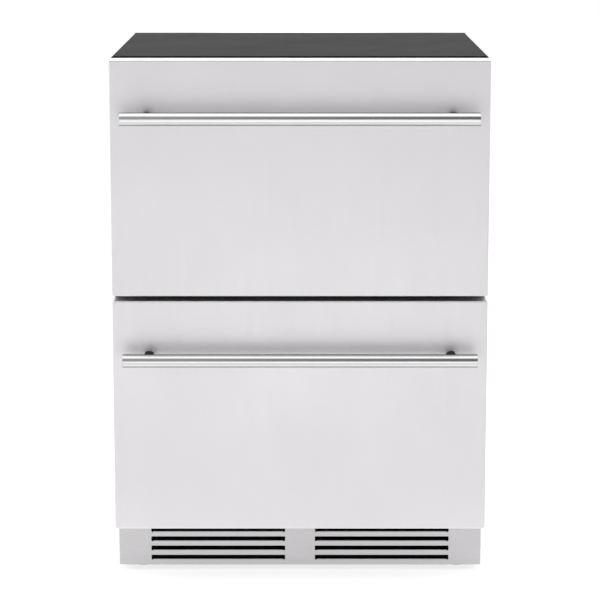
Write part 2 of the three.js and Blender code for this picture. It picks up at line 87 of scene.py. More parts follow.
def rect_ring(a0, a1, b0, b1, r, seg):
    r = max(0.0, min(r, (a1 - a0) / 2, (b1 - b0) / 2))
    out = []
    for ca, cb, start in (
        (a1 - r, b1 - r, 0),
        (a0 + r, b1 - r, 90),
        (a0 + r, b0 + r, 180),
        (a1 - r, b0 + r, 270),
    ):
        for i in range(seg + 1):
            t = math.radians(start + 90 * i / seg)
            out.append((ca + r * math.cos(t), cb + r * math.sin(t)))
    return out


def skin_rings(rings, closed_loop=False, caps=(True, True)):
    """Joins rings of equal length into a surface."""
    n = len(rings[0])
    verts = [p for ring in rings for p in ring]
    faces = []
    count = len(rings)
    for k in range(count if closed_loop else count - 1):
        a, b = k * n, ((k + 1) % count) * n
        for i in range(n):
            j = (i + 1) % n
            faces.append((a + i, a + j, b + j, b + i))
    if not closed_loop:
        if caps[0]:
            faces.append(tuple(reversed(range(n))))
        if caps[1]:
            faces.append(tuple(range((count - 1) * n, count * n)))
    return verts, faces


def loft(rings, axis, seg=5, closed_loop=False, caps=(True, True)):
    """Rounded rectangles (a0, a1, b0, b1, corner radius, height) joined in order."""
    to = AXES[axis]
    made = []
    for a0, a1, b0, b1, r, h in rings:
        made.append([to(a, b, h) for a, b in rect_ring(a0, a1, b0, b1, r, seg)])
    return skin_rings(made, closed_loop, caps)


def arc(r, start, end, seg):
    """Points (cos, sin) of an arc, angles in degrees."""
    return [
        (
            r * math.cos(math.radians(start + (end - start) * i / seg)),
            r * math.sin(math.radians(start + (end - start) * i / seg)),
        )
        for i in range(seg + 1)
    ]


def rbox(x0, x1, y0, y1, z0, z1, r=1.0, seg=3, corner=None):
    """A box with every edge rounded to r, and its upright edges to corner."""
    corner = r if corner is None else corner
    rings = []
    for c, s in arc(r, -90, 0, seg):
        inset = r - c
        rings.append((x0 + inset, x1 - inset, y0 + inset, y1 - inset, corner - inset, z0 + r + s))
    for c, s in arc(r, 0, 90, seg):
        inset = r - c
        rings.append((x0 + inset, x1 - inset, y0 + inset, y1 - inset, corner - inset, z1 - r + s))
    return loft(rings, "z", max(seg, 4 if corner > 2 else seg))


def prism(points, axis, h0, h1):
    """A flat outline carried along an axis."""
    to = AXES[axis]
    return skin_rings([[to(a, b, h0) for a, b in points], [to(a, b, h1) for a, b in points]])


def prism_soft(points, axis, h0, h1, edge=0.4):
    """A prism whose end outlines are drawn in a little, as a deburred edge."""
    to = AXES[axis]
    small = inset_outline(points, edge)
    return skin_rings(
        [
            [to(a, b, h0) for a, b in small],
            [to(a, b, h0 + edge) for a, b in points],
            [to(a, b, h1 - edge) for a, b in points],
            [to(a, b, h1) for a, b in small],
        ]
    )


def signed_area(points):
    return sum(
        points[i - 1][0] * points[i][1] - points[i][0] * points[i - 1][1]
        for i in range(len(points))
    ) / 2


def inset_outline(points, d):
    """A closed outline moved inwards by d."""
    sign = 1 if signed_area(points) > 0 else -1
    n = len(points)
    out = []
    for i in range(n):
        p, q, r = points[i - 1], points[i], points[(i + 1) % n]
        e = (Vector(q) - Vector(p)).normalized()
        f = (Vector(r) - Vector(q)).normalized()
        ne = Vector((-e.y, e.x)) * sign
        nf = Vector((-f.y, f.x)) * sign
        m = ne + nf
        k = m.length_squared
        m = m * (2 / k) if k > 0.2 else ne
        out.append((q[0] + m.x * d, q[1] + m.y * d))
    return out


def lathe(profile, axis="z", centre=(0, 0, 0), seg=32, squeeze=(1, 1)):
    """A (radius, height) profile turned about an axis through centre."""
    to = AXES[axis]
    rings = []
    for r, h in profile:
        ring = []
        for i in range(seg):
            t = 2 * math.pi * i / seg
            x, y, z = to(r * math.cos(t) * squeeze[0], r * math.sin(t) * squeeze[1], h)
            ring.append((x + centre[0], y + centre[1], z + centre[2]))
        rings.append(ring)
    return skin_rings(rings, caps=(profile[0][0] > 1e-6, profile[-1][0] > 1e-6))


def ring_lathe(profile, axis="z", centre=(0, 0, 0), seg=32):
    """A closed (radius, height) section turned about an axis: a ring."""
    to = AXES[axis]
    rings = []
    for r, h in profile:
        ring = []
        for i in range(seg):
            t = 2 * math.pi * i / seg
            x, y, z = to(r * math.cos(t), r * math.sin(t), h)
            ring.append((x + centre[0], y + centre[1], z + centre[2]))
        rings.append(ring)
    return skin_rings(rings, closed_loop=True)


def frames_along(path):
    points = [Vector(p) for p in path]
    n = len(points)
    tangents = []
    for i in range(n):
        a = points[max(i - 1, 0)]
        b = points[min(i + 1, n - 1)]
        tangents.append((b - a).normalized())
    up = Vector((0, 0, 1)) if abs(tangents[0].z) < 0.9 else Vector((1, 0, 0))
    normal = (up - tangents[0] * up.dot(tangents[0])).normalized()
    out = []
    for i in range(n):
        if i:
            turn = tangents[i - 1].rotation_difference(tangents[i])
            normal = (turn @ normal).normalized()
            normal = (normal - tangents[i] * normal.dot(tangents[i])).normalized()
        out.append((points[i], normal, tangents[i].cross(normal)))
    return out


def tube(path, r, sides=16):
    """A round rod along a path. r is one radius or one for each point."""
    rings = []
    for i, (p, n, b) in enumerate(frames_along(path)):
        k = r[i] if isinstance(r, (list, tuple)) else r
        ring = []
        for j in range(sides):
            t = 2 * math.pi * j / sides
            ring.append(tuple(p + n * (k * math.cos(t)) + b * (k * math.sin(t))))
        rings.append(ring)
    return skin_rings(rings)


def smooth_path(points, per_span=8):
    """Centripetal Catmull-Rom line through the points."""
    pts = [Vector(p) for p in points]
    first = pts[0] * 2 - pts[1]
    last = pts[-1] * 2 - pts[-2]
    ext = [first] + pts + [last]
    out = []
    for i in range(1, len(ext) - 2):
        p0, p1, p2, p3 = ext[i - 1 : i + 3]
        d0 = max((p1 - p0).length_squared ** 0.25, 1e-4)
        d1 = max((p2 - p1).length_squared ** 0.25, 1e-4)
        d2 = max((p3 - p2).length_squared ** 0.25, 1e-4)
        t1 = (p1 - p0) / d0 - (p2 - p0) / (d0 + d1) + (p2 - p1) / d1
        t2 = (p2 - p1) / d1 - (p3 - p1) / (d1 + d2) + (p3 - p2) / d2
        t1 *= d1
        t2 *= d1
        for k in range(per_span):
            t = k / per_span
            out.append(
                p1 * (2 * t**3 - 3 * t**2 + 1)
                + t1 * (t**3 - 2 * t**2 + t)
                + p2 * (-2 * t**3 + 3 * t**2)
                + t2 * (t**3 - t**2)
            )
    out.append(pts[-1])
    return out


def round_corners(points, r, seg=4, closed=False):
    """A polyline with its corners rounded to r, or to each point's own radius."""
    n = len(points)
    out = []
    for i, q in enumerate(points):
        rr = r[i] if isinstance(r, (list, tuple)) else r
        if rr <= 0 or (not closed and i in (0, n - 1)):
            out.append(tuple(q))
            continue
        p, s = Vector(points[i - 1]), Vector(points[(i + 1) % n])
        q = Vector(q)
        a, b = (p - q).normalized(), (s - q).normalized()
        cosine = max(-1.0, min(1.0, a.dot(b)))
        half = math.acos(cosine) / 2
        if half > math.pi / 2 - 1e-3:
            out.append(tuple(q))
            continue
        length = rr / math.tan(half)
        limit = 0.499 * min((p - q).length, (s - q).length)
        if length > limit:
            length = limit
            rr = length * math.tan(half)
        centre = q + (a + b).normalized() * (rr / math.sin(half))
        u, v = q + a * length - centre, q + b * length - centre
        total = u.angle_signed(v) if len(q) == 2 else 0
        for k in range(seg + 1):
            t = -total * k / seg
            c, s_ = math.cos(t), math.sin(t)
            out.append((centre.x + u.x * c - u.y * s_, centre.y + u.x * s_ + u.y * c))
    return out


def sheet_outline(points, t, r, seg=4):
    """Closed outline of a sheet t thick, bent along the points, which run down its middle."""
    line = round_corners(points, r, seg)
    left, right = [], []
    n = len(line)
    for i in range(n):
        q = Vector(line[i])
        dirs = []
        if i:
            dirs.append((q - Vector(line[i - 1])).normalized())
        if i < n - 1:
            dirs.append((Vector(line[i + 1]) - q).normalized())
        d = sum(dirs, Vector((0, 0))).normalized()
        normal = Vector((-d.y, d.x))
        k = t / 2 / max(0.5, normal.dot(Vector((-dirs[0].y, dirs[0].x))))
        left.append(tuple(q + normal * k))
        right.append(tuple(q - normal * k))
    return left + right[::-1]


def slot_outline(a0, a1, b0, b1, r, grow=0.0, seg=4):
    return rect_ring(a0 - grow, a1 + grow, b0 - grow, b1 + grow, max(r + grow, 0.01), seg)


def circle_outline(ca, cb, r, grow=0.0, seg=24):
    return [
        (
            ca + (r + grow) * math.cos(2 * math.pi * i / seg),
            cb + (r + grow) * math.sin(2 * math.pi * i / seg),
        )
        for i in range(seg)
    ]


def inside(p, poly):
    x, y = p
    hit = False
    for i in range(len(poly)):
        (x1, y1), (x2, y2) = poly[i - 1], poly[i]
        if (y1 > y) != (y2 > y) and x < (x2 - x1) * (y - y1) / (y2 - y1) + x1:
            hit = not hit
    return hit


def fill(outer, holes):
    """Triangles of a flat outline with holes: (points, triangles)."""
    coords, edges = [], []
    for loop in [outer] + holes:
        base = len(coords)
        coords += [Vector(p) for p in loop]
        edges += [(base + i, base + (i + 1) % len(loop)) for i in range(len(loop))]
    out = delaunay_2d_cdt(coords, edges, [], 0, 1e-5)
    flat = [tuple(p) for loop in [outer] + holes for p in loop]
    pts = [flat[own[0]] if own else tuple(p) for p, own in zip(out[0], out[3])]
    tris = []
    for face in out[2]:
        c = (
            sum(pts[i][0] for i in face) / len(face),
            sum(pts[i][1] for i in face) / len(face),
        )
        if inside(c, outer) and not any(inside(c, h) for h in holes):
            tris.append(tuple(face))
    return pts, tris


def plate(outer, holes, axis, h0, h1, edge=0.25):
    """A sheet between heights h0 and h1 with holes through it. outer and holes are functions of how far they grow.
    The sheet's edges and the holes' edges are broken by edge."""
    to = AXES[axis]
    verts, faces = [], []

    def put(points, h):
        base = len(verts)
        verts.extend(to(a, b, h) for a, b in points)
        return base

    for h, flip in ((h0, True), (h1, False)):
        pts, tris = fill(outer(-edge), [hole(edge) for hole in holes])
        base = put(pts, h)
        for t in tris:
            faces.append(tuple(base + i for i in (reversed(t) if flip else t)))
    for loop, sign in [(outer, -1)] + [(hole, 1) for hole in holes]:
        rings = [
            (loop(sign * edge), h0),
            (loop(0), h0 + edge),
            (loop(0), h1 - edge),
            (loop(sign * edge), h1),
        ]
        bases = [put(points, h) for points, h in rings]
        n = len(rings[0][0])
        for a, b in zip(bases, bases[1:]):
            for i in range(n):
                j = (i + 1) % n
                faces.append((a + i, a + j, b + j, b + i))
    return verts, faces


def ball(centre, r, seg=10, rings=6):
    profile = [
        (r * math.sin(math.pi * i / rings), -r * math.cos(math.pi * i / rings))
        for i in range(rings + 1)
    ]
    return lathe(profile, "z", centre, seg)


def screw(x, y, z, r, height, facing):
    """A low pan-head screw, its head rising along the facing axis: '+y', '-y', '+x', '-x', '+z' or '-z'."""
    sign = 1 if facing[0] == "+" else -1
    axis = facing[1]
    profile = [(r, -0.6), (r, height * 0.25), (r * 0.93, height * 0.62), (r * 0.7, height * 0.9), (r * 0.42, height)]
    profile += [(r * 0.36, height * 0.4), (0, height * 0.35)]
    return lathe([(0, -0.6)] + [(a, b * 1.0) for a, b in profile], axis, (0, 0, 0), 20), sign, (x, y, z)


def add_screw(shape, x, y, z, r, height, facing, material=0):
    made, sign, at = screw(x, y, z, r, height, facing)
    k = "xyz".index(facing[1])
    verts = []
    for p in made[0]:
        q = list(p)
        q[k] *= sign
        verts.append((q[0] + at[0], q[1] + at[1], q[2] + at[2]))
    shape.add((verts, made[1]), material)


def folded(verts, faces, radius, thickness, seg=5):
    """An open sheet surface with its folds rounded to radius and then thickened, away from its normals."""
    bm = bmesh.new()
    vs = [bm.verts.new(p) for p in verts]
    for f in faces:
        bm.faces.new([vs[i] for i in f])
    bmesh.ops.recalc_face_normals(bm, faces=bm.faces)
    edges = [e for e in bm.edges if len(e.link_faces) == 2 and e.calc_face_angle(0) > 0.5]
    bmesh.ops.bevel(
        bm,
        geom=edges,
        offset=radius,
        offset_type="OFFSET",
        segments=seg,
        profile=0.5,
        affect="EDGES",
        clamp_overlap=True,
    )
    mesh = bpy.data.meshes.new("fold")
    bm.to_mesh(mesh)
    bm.free()
    ob = bpy.data.objects.new("fold", mesh)
    bpy.context.scene.collection.objects.link(ob)
    solid = ob.modifiers.new("thick", "SOLIDIFY")
    solid.thickness = abs(thickness)
    solid.offset = -1 if thickness > 0 else 1
    solid.use_even_offset = True
    solid.use_quality_normals = True
    dg = bpy.context.evaluated_depsgraph_get()
    done = bpy.data.meshes.new_from_object(ob.evaluated_get(dg))
    made = (
        [tuple(v.co) for v in done.vertices],
        [tuple(p.vertices) for p in done.polygons],
    )
    bpy.data.objects.remove(ob)
    bpy.data.meshes.remove(mesh)
    bpy.data.meshes.remove(done)
    return made


def piece(name, shape, body, look, replaces=(), angle=38, bevel=0.0, segments=2):
    """A finished piece: its mesh, materials, body, material slot, and the CAD nodes it stands for."""
    mesh = bpy.data.meshes.new(name)
    bm = bmesh.new()
    verts = [bm.verts.new((x * MM, y * MM, z * MM)) for x, y, z in shape.v]
    for f, m in zip(shape.f, shape.m):
        try:
            face = bm.faces.new([verts[i] for i in f])
        except ValueError:
            continue
        face.smooth = True
        face.material_index = m
    loose = [v for v in bm.verts if not v.link_faces]
    bmesh.ops.delete(bm, geom=loose, context="VERTS")
    bmesh.ops.recalc_face_normals(bm, faces=bm.faces)
    bm.to_mesh(mesh)
    bm.free()
    mesh.set_sharp_from_angle(angle=math.radians(angle))
    ob = bpy.data.objects.new(name, mesh)
    bpy.context.scene.collection.objects.link(ob)
    for one in look if isinstance(look, (list, tuple)) else [look]:
        mesh.materials.append(one)
    if bevel:
        add_bevel(ob, bevel, segments, angle)
    weigh(ob)
    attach(ob, body)
    if replaces:
        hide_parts(*([replaces] if isinstance(replaces, str) else replaces))
    return ob


def add_bevel(ob, width, segments=2, angle=38):
    mod = ob.modifiers.new("edges", "BEVEL")
    mod.width = width * MM
    mod.segments = segments
    mod.limit_method = "ANGLE"
    mod.angle_limit = math.radians(angle)
    mod.harden_normals = False
    mod.use_clamp_overlap = True
    return mod


def weigh(ob):
    mod = ob.modifiers.new("normals", "WEIGHTED_NORMAL")
    mod.mode = "FACE_AREA"
    mod.weight = 80
    mod.keep_sharp = True
    return mod


# ================================================================ materials
class Nodes:
    """A material or world node tree, built by short calls."""

    def __init__(self, tree):
        self.tree = tree
        self.tree.nodes.clear()

    def new(self, kind, **settings):
        node = self.tree.nodes.new(kind)
        for k, v in settings.items():
            setattr(node, k, v)
        return node

    def link(self, a, b):
        self.tree.links.new(a, b)

    def plug(self, value, socket):
        if hasattr(value, "is_output"):
            self.link(value, socket)
        elif value is not None:
            socket.default_value = value

    def math(self, op, a, b=None, c=None, clamp=False):
        node = self.new("ShaderNodeMath", operation=op, use_clamp=clamp)
        self.plug(a, node.inputs[0])
        if b is not None:
            self.plug(b, node.inputs[1])
        if c is not None:
            self.plug(c, node.inputs[2])
        return node.outputs[0]

    def range(self, value, a, b, c, d, smooth=False):
        node = self.new("ShaderNodeMapRange", clamp=True)
        node.interpolation_type = "SMOOTHSTEP" if smooth else "LINEAR"
        self.plug(value, node.inputs["Value"])
        for k, v in (("From Min", a), ("From Max", b), ("To Min", c), ("To Max", d)):
            self.plug(v, node.inputs[k])
        return node.outputs["Result"]

    def mix(self, factor, a, b, kind="MIX"):
        node = self.new("ShaderNodeMix", data_type="RGBA", blend_type=kind, clamp_factor=True)
        self.plug(factor, node.inputs[0])
        self.plug(a, node.inputs[6])
        self.plug(b, node.inputs[7])
        return node.outputs[2]

    def at(self, scale=(1, 1, 1), rotation=(0, 0, 0)):
        """Object coordinates, which are the row frame in metres, scaled."""
        coord = self.new("ShaderNodeTexCoord")
        mapping = self.new("ShaderNodeMapping")
        mapping.inputs["Scale"].default_value = scale
        mapping.inputs["Rotation"].default_value = rotation
        self.link(coord.outputs["Object"], mapping.inputs["Vector"])
        return mapping.outputs["Vector"]

    def noise(self, vector, scale, detail=2.0, roughness=0.5, distortion=0.0):
        node = self.new("ShaderNodeTexNoise")
        self.link(vector, node.inputs["Vector"])
        node.inputs["Scale"].default_value = scale
        node.inputs["Detail"].default_value = detail
        node.inputs["Roughness"].default_value = roughness
        node.inputs["Distortion"].default_value = distortion
        return node.outputs["Fac"]

    def voronoi(self, vector, scale, feature="F1", output="Distance", randomness=1.0):
        node = self.new("ShaderNodeTexVoronoi", feature=feature)
        self.link(vector, node.inputs["Vector"])
        node.inputs["Scale"].default_value = scale
        node.inputs["Randomness"].default_value = randomness
        return node.outputs[output]

    def bump(self, height, strength, distance, normal=None):
        node = self.new("ShaderNodeBump")
        node.inputs["Strength"].default_value = strength
        node.inputs["Distance"].default_value = distance
        self.link(height, node.inputs["Height"])
        if normal is not None:
            self.link(normal, node.inputs["Normal"])
        return node.outputs["Normal"]


def material(name):
    m = bpy.data.materials.new(name)
    m.use_nodes = True
    n = Nodes(m.node_tree)
    out = n.new("ShaderNodeOutputMaterial")
    shader = n.new("ShaderNodeBsdfPrincipled")
    n.link(shader.outputs["BSDF"], out.inputs["Surface"])
    return m, n, shader


def rgb(r, g, b):
    return (r, g, b, 1.0)


def brushed(name, colour, along, roughness, metal=1.0, spread=0.02, fine=2600, length=0.011, bump=0.06,
            rough_spread=0.05, level=0.5, edge_shade_tint=None):
    """Steel with a fine grain running along an axis: thin long scratches over broader soft streaks."""
    m, n, s = material(name)
    stretch = [1.0, 1.0, 1.0]
    stretch["xyz".index(along)] = length
    lines = n.noise(n.at(tuple(stretch)), fine, 3.0, 0.62)
    wide = [1.0, 1.0, 1.0]
    wide["xyz".index(along)] = 0.05
    streak = n.noise(n.at(tuple(wide)), 170, 2.0, 0.5)
    cloud = n.noise(n.at((1, 1, 1)), 7, 3.0, 0.5)
    grain = n.range(lines, 0.3, 0.7, 0.0, 1.0)
    both = n.math("ADD", n.math("MULTIPLY", grain, 0.6), n.math("MULTIPLY", streak, 0.4))
    dark = rgb(*[c * (1 - spread) for c in colour])
    light = rgb(*[min(1.0, c * (1 + spread)) for c in colour])
    shade = n.mix(both, dark, light)
    shade = n.mix(n.range(cloud, 0.35, 0.65, 0.0, 1.0), shade, rgb(*[c * (1 - spread * 0.5) for c in colour]))
    n.link(shade, s.inputs["Base Color"])
    rough = n.range(both, 0.25, 0.75, roughness - rough_spread, roughness + rough_spread)
    rough = n.math("ADD", rough, n.range(cloud, 0.3, 0.7, -0.012, 0.012))
    n.link(rough, s.inputs["Roughness"])
    s.inputs["Metallic"].default_value = metal
    s.inputs["Specular IOR Level"].default_value = level
    # a Specular Tint below white darkens the grazing edges: painted shade along the outline
    if edge_shade_tint is not None:
        s.inputs["Specular Tint"].default_value = rgb(edge_shade_tint, edge_shade_tint, edge_shade_tint)
    n.link(n.bump(lines, bump, 0.00003), s.inputs["Normal"])
    return m


def painted(name, colour, roughness, level=0.5, grain=1400, bump=0.25, depth=0.00006, spread=0.12):
    """Powder paint: a fine pebbled film, a little patchy, with slight dust in its sheen."""
    m, n, s = material(name)
    at = n.at()
    pebble = n.noise(at, grain, 3.0, 0.6)
    cells = n.voronoi(at, grain * 0.55, "SMOOTH_F1")
    patch = n.noise(at, 9, 4.0, 0.6)
    base = n.mix(n.range(patch, 0.3, 0.7, 0.0, 1.0), rgb(*[c * (1 - spread) for c in colour]),
                 rgb(*[c * (1 + spread) for c in colour]))
    base = n.mix(n.range(pebble, 0.35, 0.75, 0.0, 0.35), base, rgb(*[c * 1.35 for c in colour]))
    n.link(base, s.inputs["Base Color"])
    n.link(n.math("ADD", n.range(pebble, 0.3, 0.7, roughness - 0.05, roughness + 0.05),
                  n.range(patch, 0.3, 0.7, -0.03, 0.03)), s.inputs["Roughness"])
    s.inputs["Specular IOR Level"].default_value = level
    height = n.math("ADD", pebble, n.math("MULTIPLY", cells, 0.6))
    n.link(n.bump(height, bump, depth), s.inputs["Normal"])
    return m


def plastic(name, colour, roughness, grain=900, bump=0.12, depth=0.00005, level=0.5, spread=0.05):
    """Moulded plastic: spark-eroded texture, slight flow marks and gloss variation."""
    m, n, s = material(name)
    at = n.at()
    spark = n.noise(at, grain, 4.0, 0.65)
    flow = n.noise(n.at((1, 1, 0.3)), 14, 3.0, 0.5, 0.4)
    base = n.mix(n.range(flow, 0.3, 0.7, 0.0, 1.0), rgb(*[c * (1 - spread) for c in colour]),
                 rgb(*[min(1.0, c * (1 + spread)) for c in colour]))
    n.link(base, s.inputs["Base Color"])
    n.link(n.math("ADD", n.range(spark, 0.3, 0.7, roughness - 0.06, roughness + 0.06),
                  n.range(flow, 0.3, 0.7, -0.02, 0.02)), s.inputs["Roughness"])
    s.inputs["Specular IOR Level"].default_value = level
    n.link(n.bump(spark, bump, depth), s.inputs["Normal"])
    return m


def zinc(name, colour, roughness, spangle=55, spread=0.16, metal=1.0, streak=None, pit=0.5):
    """Zinc-coated steel: overlapping crystals that differ in tone and gloss, dulled by fine pitting."""
    m, n, s = material(name)
    stretch = (1, 1, 1)
    if streak:
        stretch = [1.0, 1.0, 1.0]
        stretch["xyz".index(streak)] = 0.15
    at = n.at(tuple(stretch))
    warp = n.noise(at, spangle * 1.7, 3.0, 0.6)
    crystal = n.new("ShaderNodeTexVoronoi", feature="F1")
    n.link(at, crystal.inputs["Vector"])
    crystal.inputs["Scale"].default_value = spangle
    tone = n.new("ShaderNodeSeparateColor")
    n.link(crystal.outputs["Color"], tone.inputs["Color"])
    pits = n.noise(n.at(), 1600, 3.0, 0.6)
    value = n.math("ADD", n.math("MULTIPLY", tone.outputs[0], 0.65), n.math("MULTIPLY", warp, 0.35))
    base = n.mix(value, rgb(*[c * (1 - spread) for c in colour]), rgb(*[min(1, c * (1 + spread)) for c in colour]))
    base = n.mix(n.range(pits, 0.6, 0.8, 0.0, pit), base, rgb(*[c * 0.6 for c in colour]))
    n.link(base, s.inputs["Base Color"])
    n.link(n.range(value, 0.1, 0.9, roughness - 0.07, roughness + 0.08), s.inputs["Roughness"])
    s.inputs["Metallic"].default_value = metal
    n.link(n.bump(n.math("ADD", pits, n.math("MULTIPLY", value, 0.4)), 0.08, 0.00004), s.inputs["Normal"])
    return m


FRONT_STEEL = brushed("front_steel_vertical_grain", (0.782, 0.766, 0.784), "z", 0.43, spread=0.012, bump=0.04)
# the handle steel's near-black Specular Tint paints a dark outline of shade along the edges of the bars and posts
HANDLE_STEEL = brushed("handle_steel_fine_grain", (0.69, 0.685, 0.69), "x", 0.18, spread=0.015, bump=0.03,
                       rough_spread=0.03, edge_shade_tint=0.03)
# the toe grille is the same brushed stainless as the fronts, its base colour darkened to paint in the shade under the
# drawers' overhang
SHADED_GRILLE_STEEL = brushed("grille_steel_grain_painted_shade", (0.54, 0.53, 0.54), "x", 0.32, spread=0.02)
BIN_STEEL = brushed("bin_steel_grain", (0.56, 0.56, 0.57), "y", 0.33, spread=0.03)
CABINET_PAINT = painted("cabinet_black_powder", (0.009, 0.009, 0.0093), 0.6, level=0.05, spread=0.2)
COIL_BLACK = painted("black_coated_coil", (0.014, 0.014, 0.015), 0.45, level=0.4, grain=700)
ZINC_STEEL = zinc("zinc_spangle", (0.43, 0.44, 0.45), 0.36, spangle=150, spread=0.07)
RAIL_STEEL = zinc("slide_zinc_plate", (0.5, 0.515, 0.53), 0.3, spangle=260, spread=0.035, streak="y", pit=0.2)
SCREW_STEEL = zinc("screw_heads", (0.2, 0.2, 0.21), 0.3, spangle=400, spread=0.1)
GASKET = plastic("gasket_rubber", (0.035, 0.035, 0.037), 0.62, grain=2600, bump=0.08)
LINER = plastic("liner_white", (0.55, 0.565, 0.57), 0.42, grain=1500, bump=0.1, spread=0.015)
BLACK_PLASTIC = plastic("black_moulding", (0.018, 0.018, 0.019), 0.5)
GREY_PLASTIC = plastic("grey_moulding", (0.11, 0.115, 0.12), 0.5)
WHITE_PLASTIC = plastic("white_moulding", (0.54, 0.555, 0.555), 0.45, grain=1100)
COMPRESSOR_PAINT = painted("compressor_black_enamel", (0.012, 0.012, 0.013), 0.3, level=0.5, grain=240, bump=0.1,
                           depth=0.0002)


def foam_look():
    m, n, s = material("foam_cells")
    at = n.at()
    cells = n.voronoi(at, 900, "DISTANCE_TO_EDGE")
    blot = n.noise(at, 30, 4.0, 0.6)
    base = n.mix(n.range(blot, 0.3, 0.7, 0.0, 1.0), rgb(0.54, 0.45, 0.22), rgb(0.62, 0.55, 0.33))
    base = n.mix(n.range(cells, 0.0, 0.12, 0.5, 0.0), base, rgb(0.5, 0.4, 0.2))
    n.link(base, s.inputs["Base Color"])
    s.inputs["Roughness"].default_value = 0.9
    n.link(n.bump(cells, 0.6, 0.0003), s.inputs["Normal"])
    return m


def fin_look():
    m, n, s = material("aluminium_fins")
    at = n.at()
    dust = n.noise(at, 60, 4.0, 0.6)
    fine = n.noise(n.at((1, 1, 0.05)), 1900, 2.0, 0.6)
    base = n.mix(n.range(dust, 0.35, 0.7, 0.0, 1.0), rgb(0.52, 0.53, 0.54), rgb(0.4, 0.4, 0.39))
    base = n.mix(n.range(fine, 0.3, 0.7, 0.0, 0.3), base, rgb(0.78, 0.79, 0.8))
    n.link(base, s.inputs["Base Color"])
    n.link(n.range(dust, 0.3, 0.7, 0.34, 0.55), s.inputs["Roughness"])
    s.inputs["Metallic"].default_value = 0.95
    n.link(n.bump(fine, 0.1, 0.00004), s.inputs["Normal"])
    return m


def copper_look():
    m, n, s = material("drawn_copper")
    at = n.at()
    tarnish = n.noise(at, 26, 5.0, 0.65, 0.3)
    fine = n.noise(at, 1500, 2.0, 0.5)
    base = n.mix(n.range(tarnish, 0.35, 0.7, 0.0, 1.0), rgb(0.72, 0.36, 0.21), rgb(0.4, 0.19, 0.11))
    base = n.mix(n.range(fine, 0.4, 0.8, 0.0, 0.25), base, rgb(0.82, 0.46, 0.3))
    n.link(base, s.inputs["Base Color"])
    n.link(n.range(tarnish, 0.3, 0.7, 0.24, 0.48), s.inputs["Roughness"])
    s.inputs["Metallic"].default_value = 1.0
    n.link(n.bump(fine, 0.06, 0.00004), s.inputs["Normal"])
    return m


def lens_look():
    m, n, s = material("light_diffuser")
    wave = n.new("ShaderNodeTexWave", wave_type="BANDS", bands_direction="X")
    n.link(n.at(), wave.inputs["Vector"])
    wave.inputs["Scale"].default_value = 110
    wave.inputs["Distortion"].default_value = 0.0
    haze = n.noise(n.at(), 40, 3.0, 0.5)
    base = n.mix(n.range(haze, 0.3, 0.7, 0.0, 1.0), rgb(0.88, 0.9, 0.92), rgb(0.8, 0.83, 0.86))
    n.link(base, s.inputs["Base Color"])
    n.link(n.range(haze, 0.3, 0.7, 0.22, 0.34), s.inputs["Roughness"])
    s.inputs["Subsurface Weight"].default_value = 0.4
    s.inputs["Subsurface Radius"].default_value = (0.004, 0.004, 0.004)
    s.inputs["Subsurface Scale"].default_value = 1.0
    s.inputs["Emission Color"].default_value = rgb(0.95, 0.98, 1.0)
    s.inputs["Emission Strength"].default_value = 22.0
    n.link(n.bump(wave.outputs["Fac"], 0.25, 0.0003), s.inputs["Normal"])
    return m


def glass_look():
    m, n, s = material("control_black_glass")
    at = n.at()
    smear = n.noise(at, 35, 4.0, 0.6, 0.5)
    base = n.mix(n.range(smear, 0.3, 0.7, 0.0, 1.0), rgb(0.006, 0.007, 0.008), rgb(0.012, 0.013, 0.014))
    n.link(base, s.inputs["Base Color"])
    n.link(n.range(smear, 0.3, 0.7, 0.06, 0.16), s.inputs["Roughness"])
    s.inputs["Coat Weight"].default_value = 0.5
    s.inputs["Coat Roughness"].default_value = 0.05
    return m


def mark_look():
    m, n, s = material("control_marks")
    at = n.at()
    haze = n.noise(at, 600, 2.0, 0.5)
    n.link(n.mix(haze, rgb(0.7, 0.73, 0.76), rgb(0.82, 0.85, 0.88)), s.inputs["Base Color"])
    s.inputs["Roughness"].default_value = 0.4
    s.inputs["Emission Color"].default_value = rgb(0.8, 0.9, 1.0)
    s.inputs["Emission Strength"].default_value = 0.5
    return m


FOAM = foam_look()
FINS = fin_look()
COPPER = copper_look()
LENS = lens_look()
GLASS = glass_look()
MARKS = mark_look()


def dress(node, look, bevel=0.0, segments=2):
    """A CAD node that stays: its finish, and its edges broken."""
    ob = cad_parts[node]
    ob.data.materials.clear()
    ob.data.materials.append(look)
    if bevel:
        add_bevel(ob, bevel, segments, 35)
    return ob


# ================================================================ dimensions, as the frame has them
HALF_W, TOP_Z, CAB_Y, BACK_Y, FACE_Y = 303.0, 864.0, -219.0, 331.0, -275.0
FRONT_H, LOWER_Z, UPPER_Z = 380.0, 94.5, 482.0
BAR_R, BAR_HALF, BAR_Y, BAR_Z, POST_R, POST_X = 10.5, 284.0, -320.5, 291.1, 8.0, 244.0


# ================================================================ drawer fronts
def front_skin(z0):
    """A stainless pan: flat face, edges bent back at a small radius, a hem turned in behind."""
    r = 2.3
    line = [(r * (1 - math.sin(t)), FACE_Y + r * (1 - math.cos(t))) for t in
            [math.radians(90 * i / 7) for i in range(8)]]
    line += [(0, -228.4)]
    line += [(1.9 * (1 - math.cos(t)), -228.4 + 1.9 * math.sin(t)) for t in
             [math.radians(90 * i / 4) for i in range(1, 5)]]
    line += [(11.6, -226.5), (12.0, -226.8), (12.0, -227.4), (11.6, -227.7)]
    line += [(2.2, -227.7), (1.2, -228.8), (1.2, -272.0), (1.8, -273.3), (3.0, -273.8)]
    rings = [
        (-HALF_W + d, HALF_W - d, z0 + d, z0 + FRONT_H - d, 2.4 - d, y) for d, y in line
    ]
    return loft(rings, "y", 4)


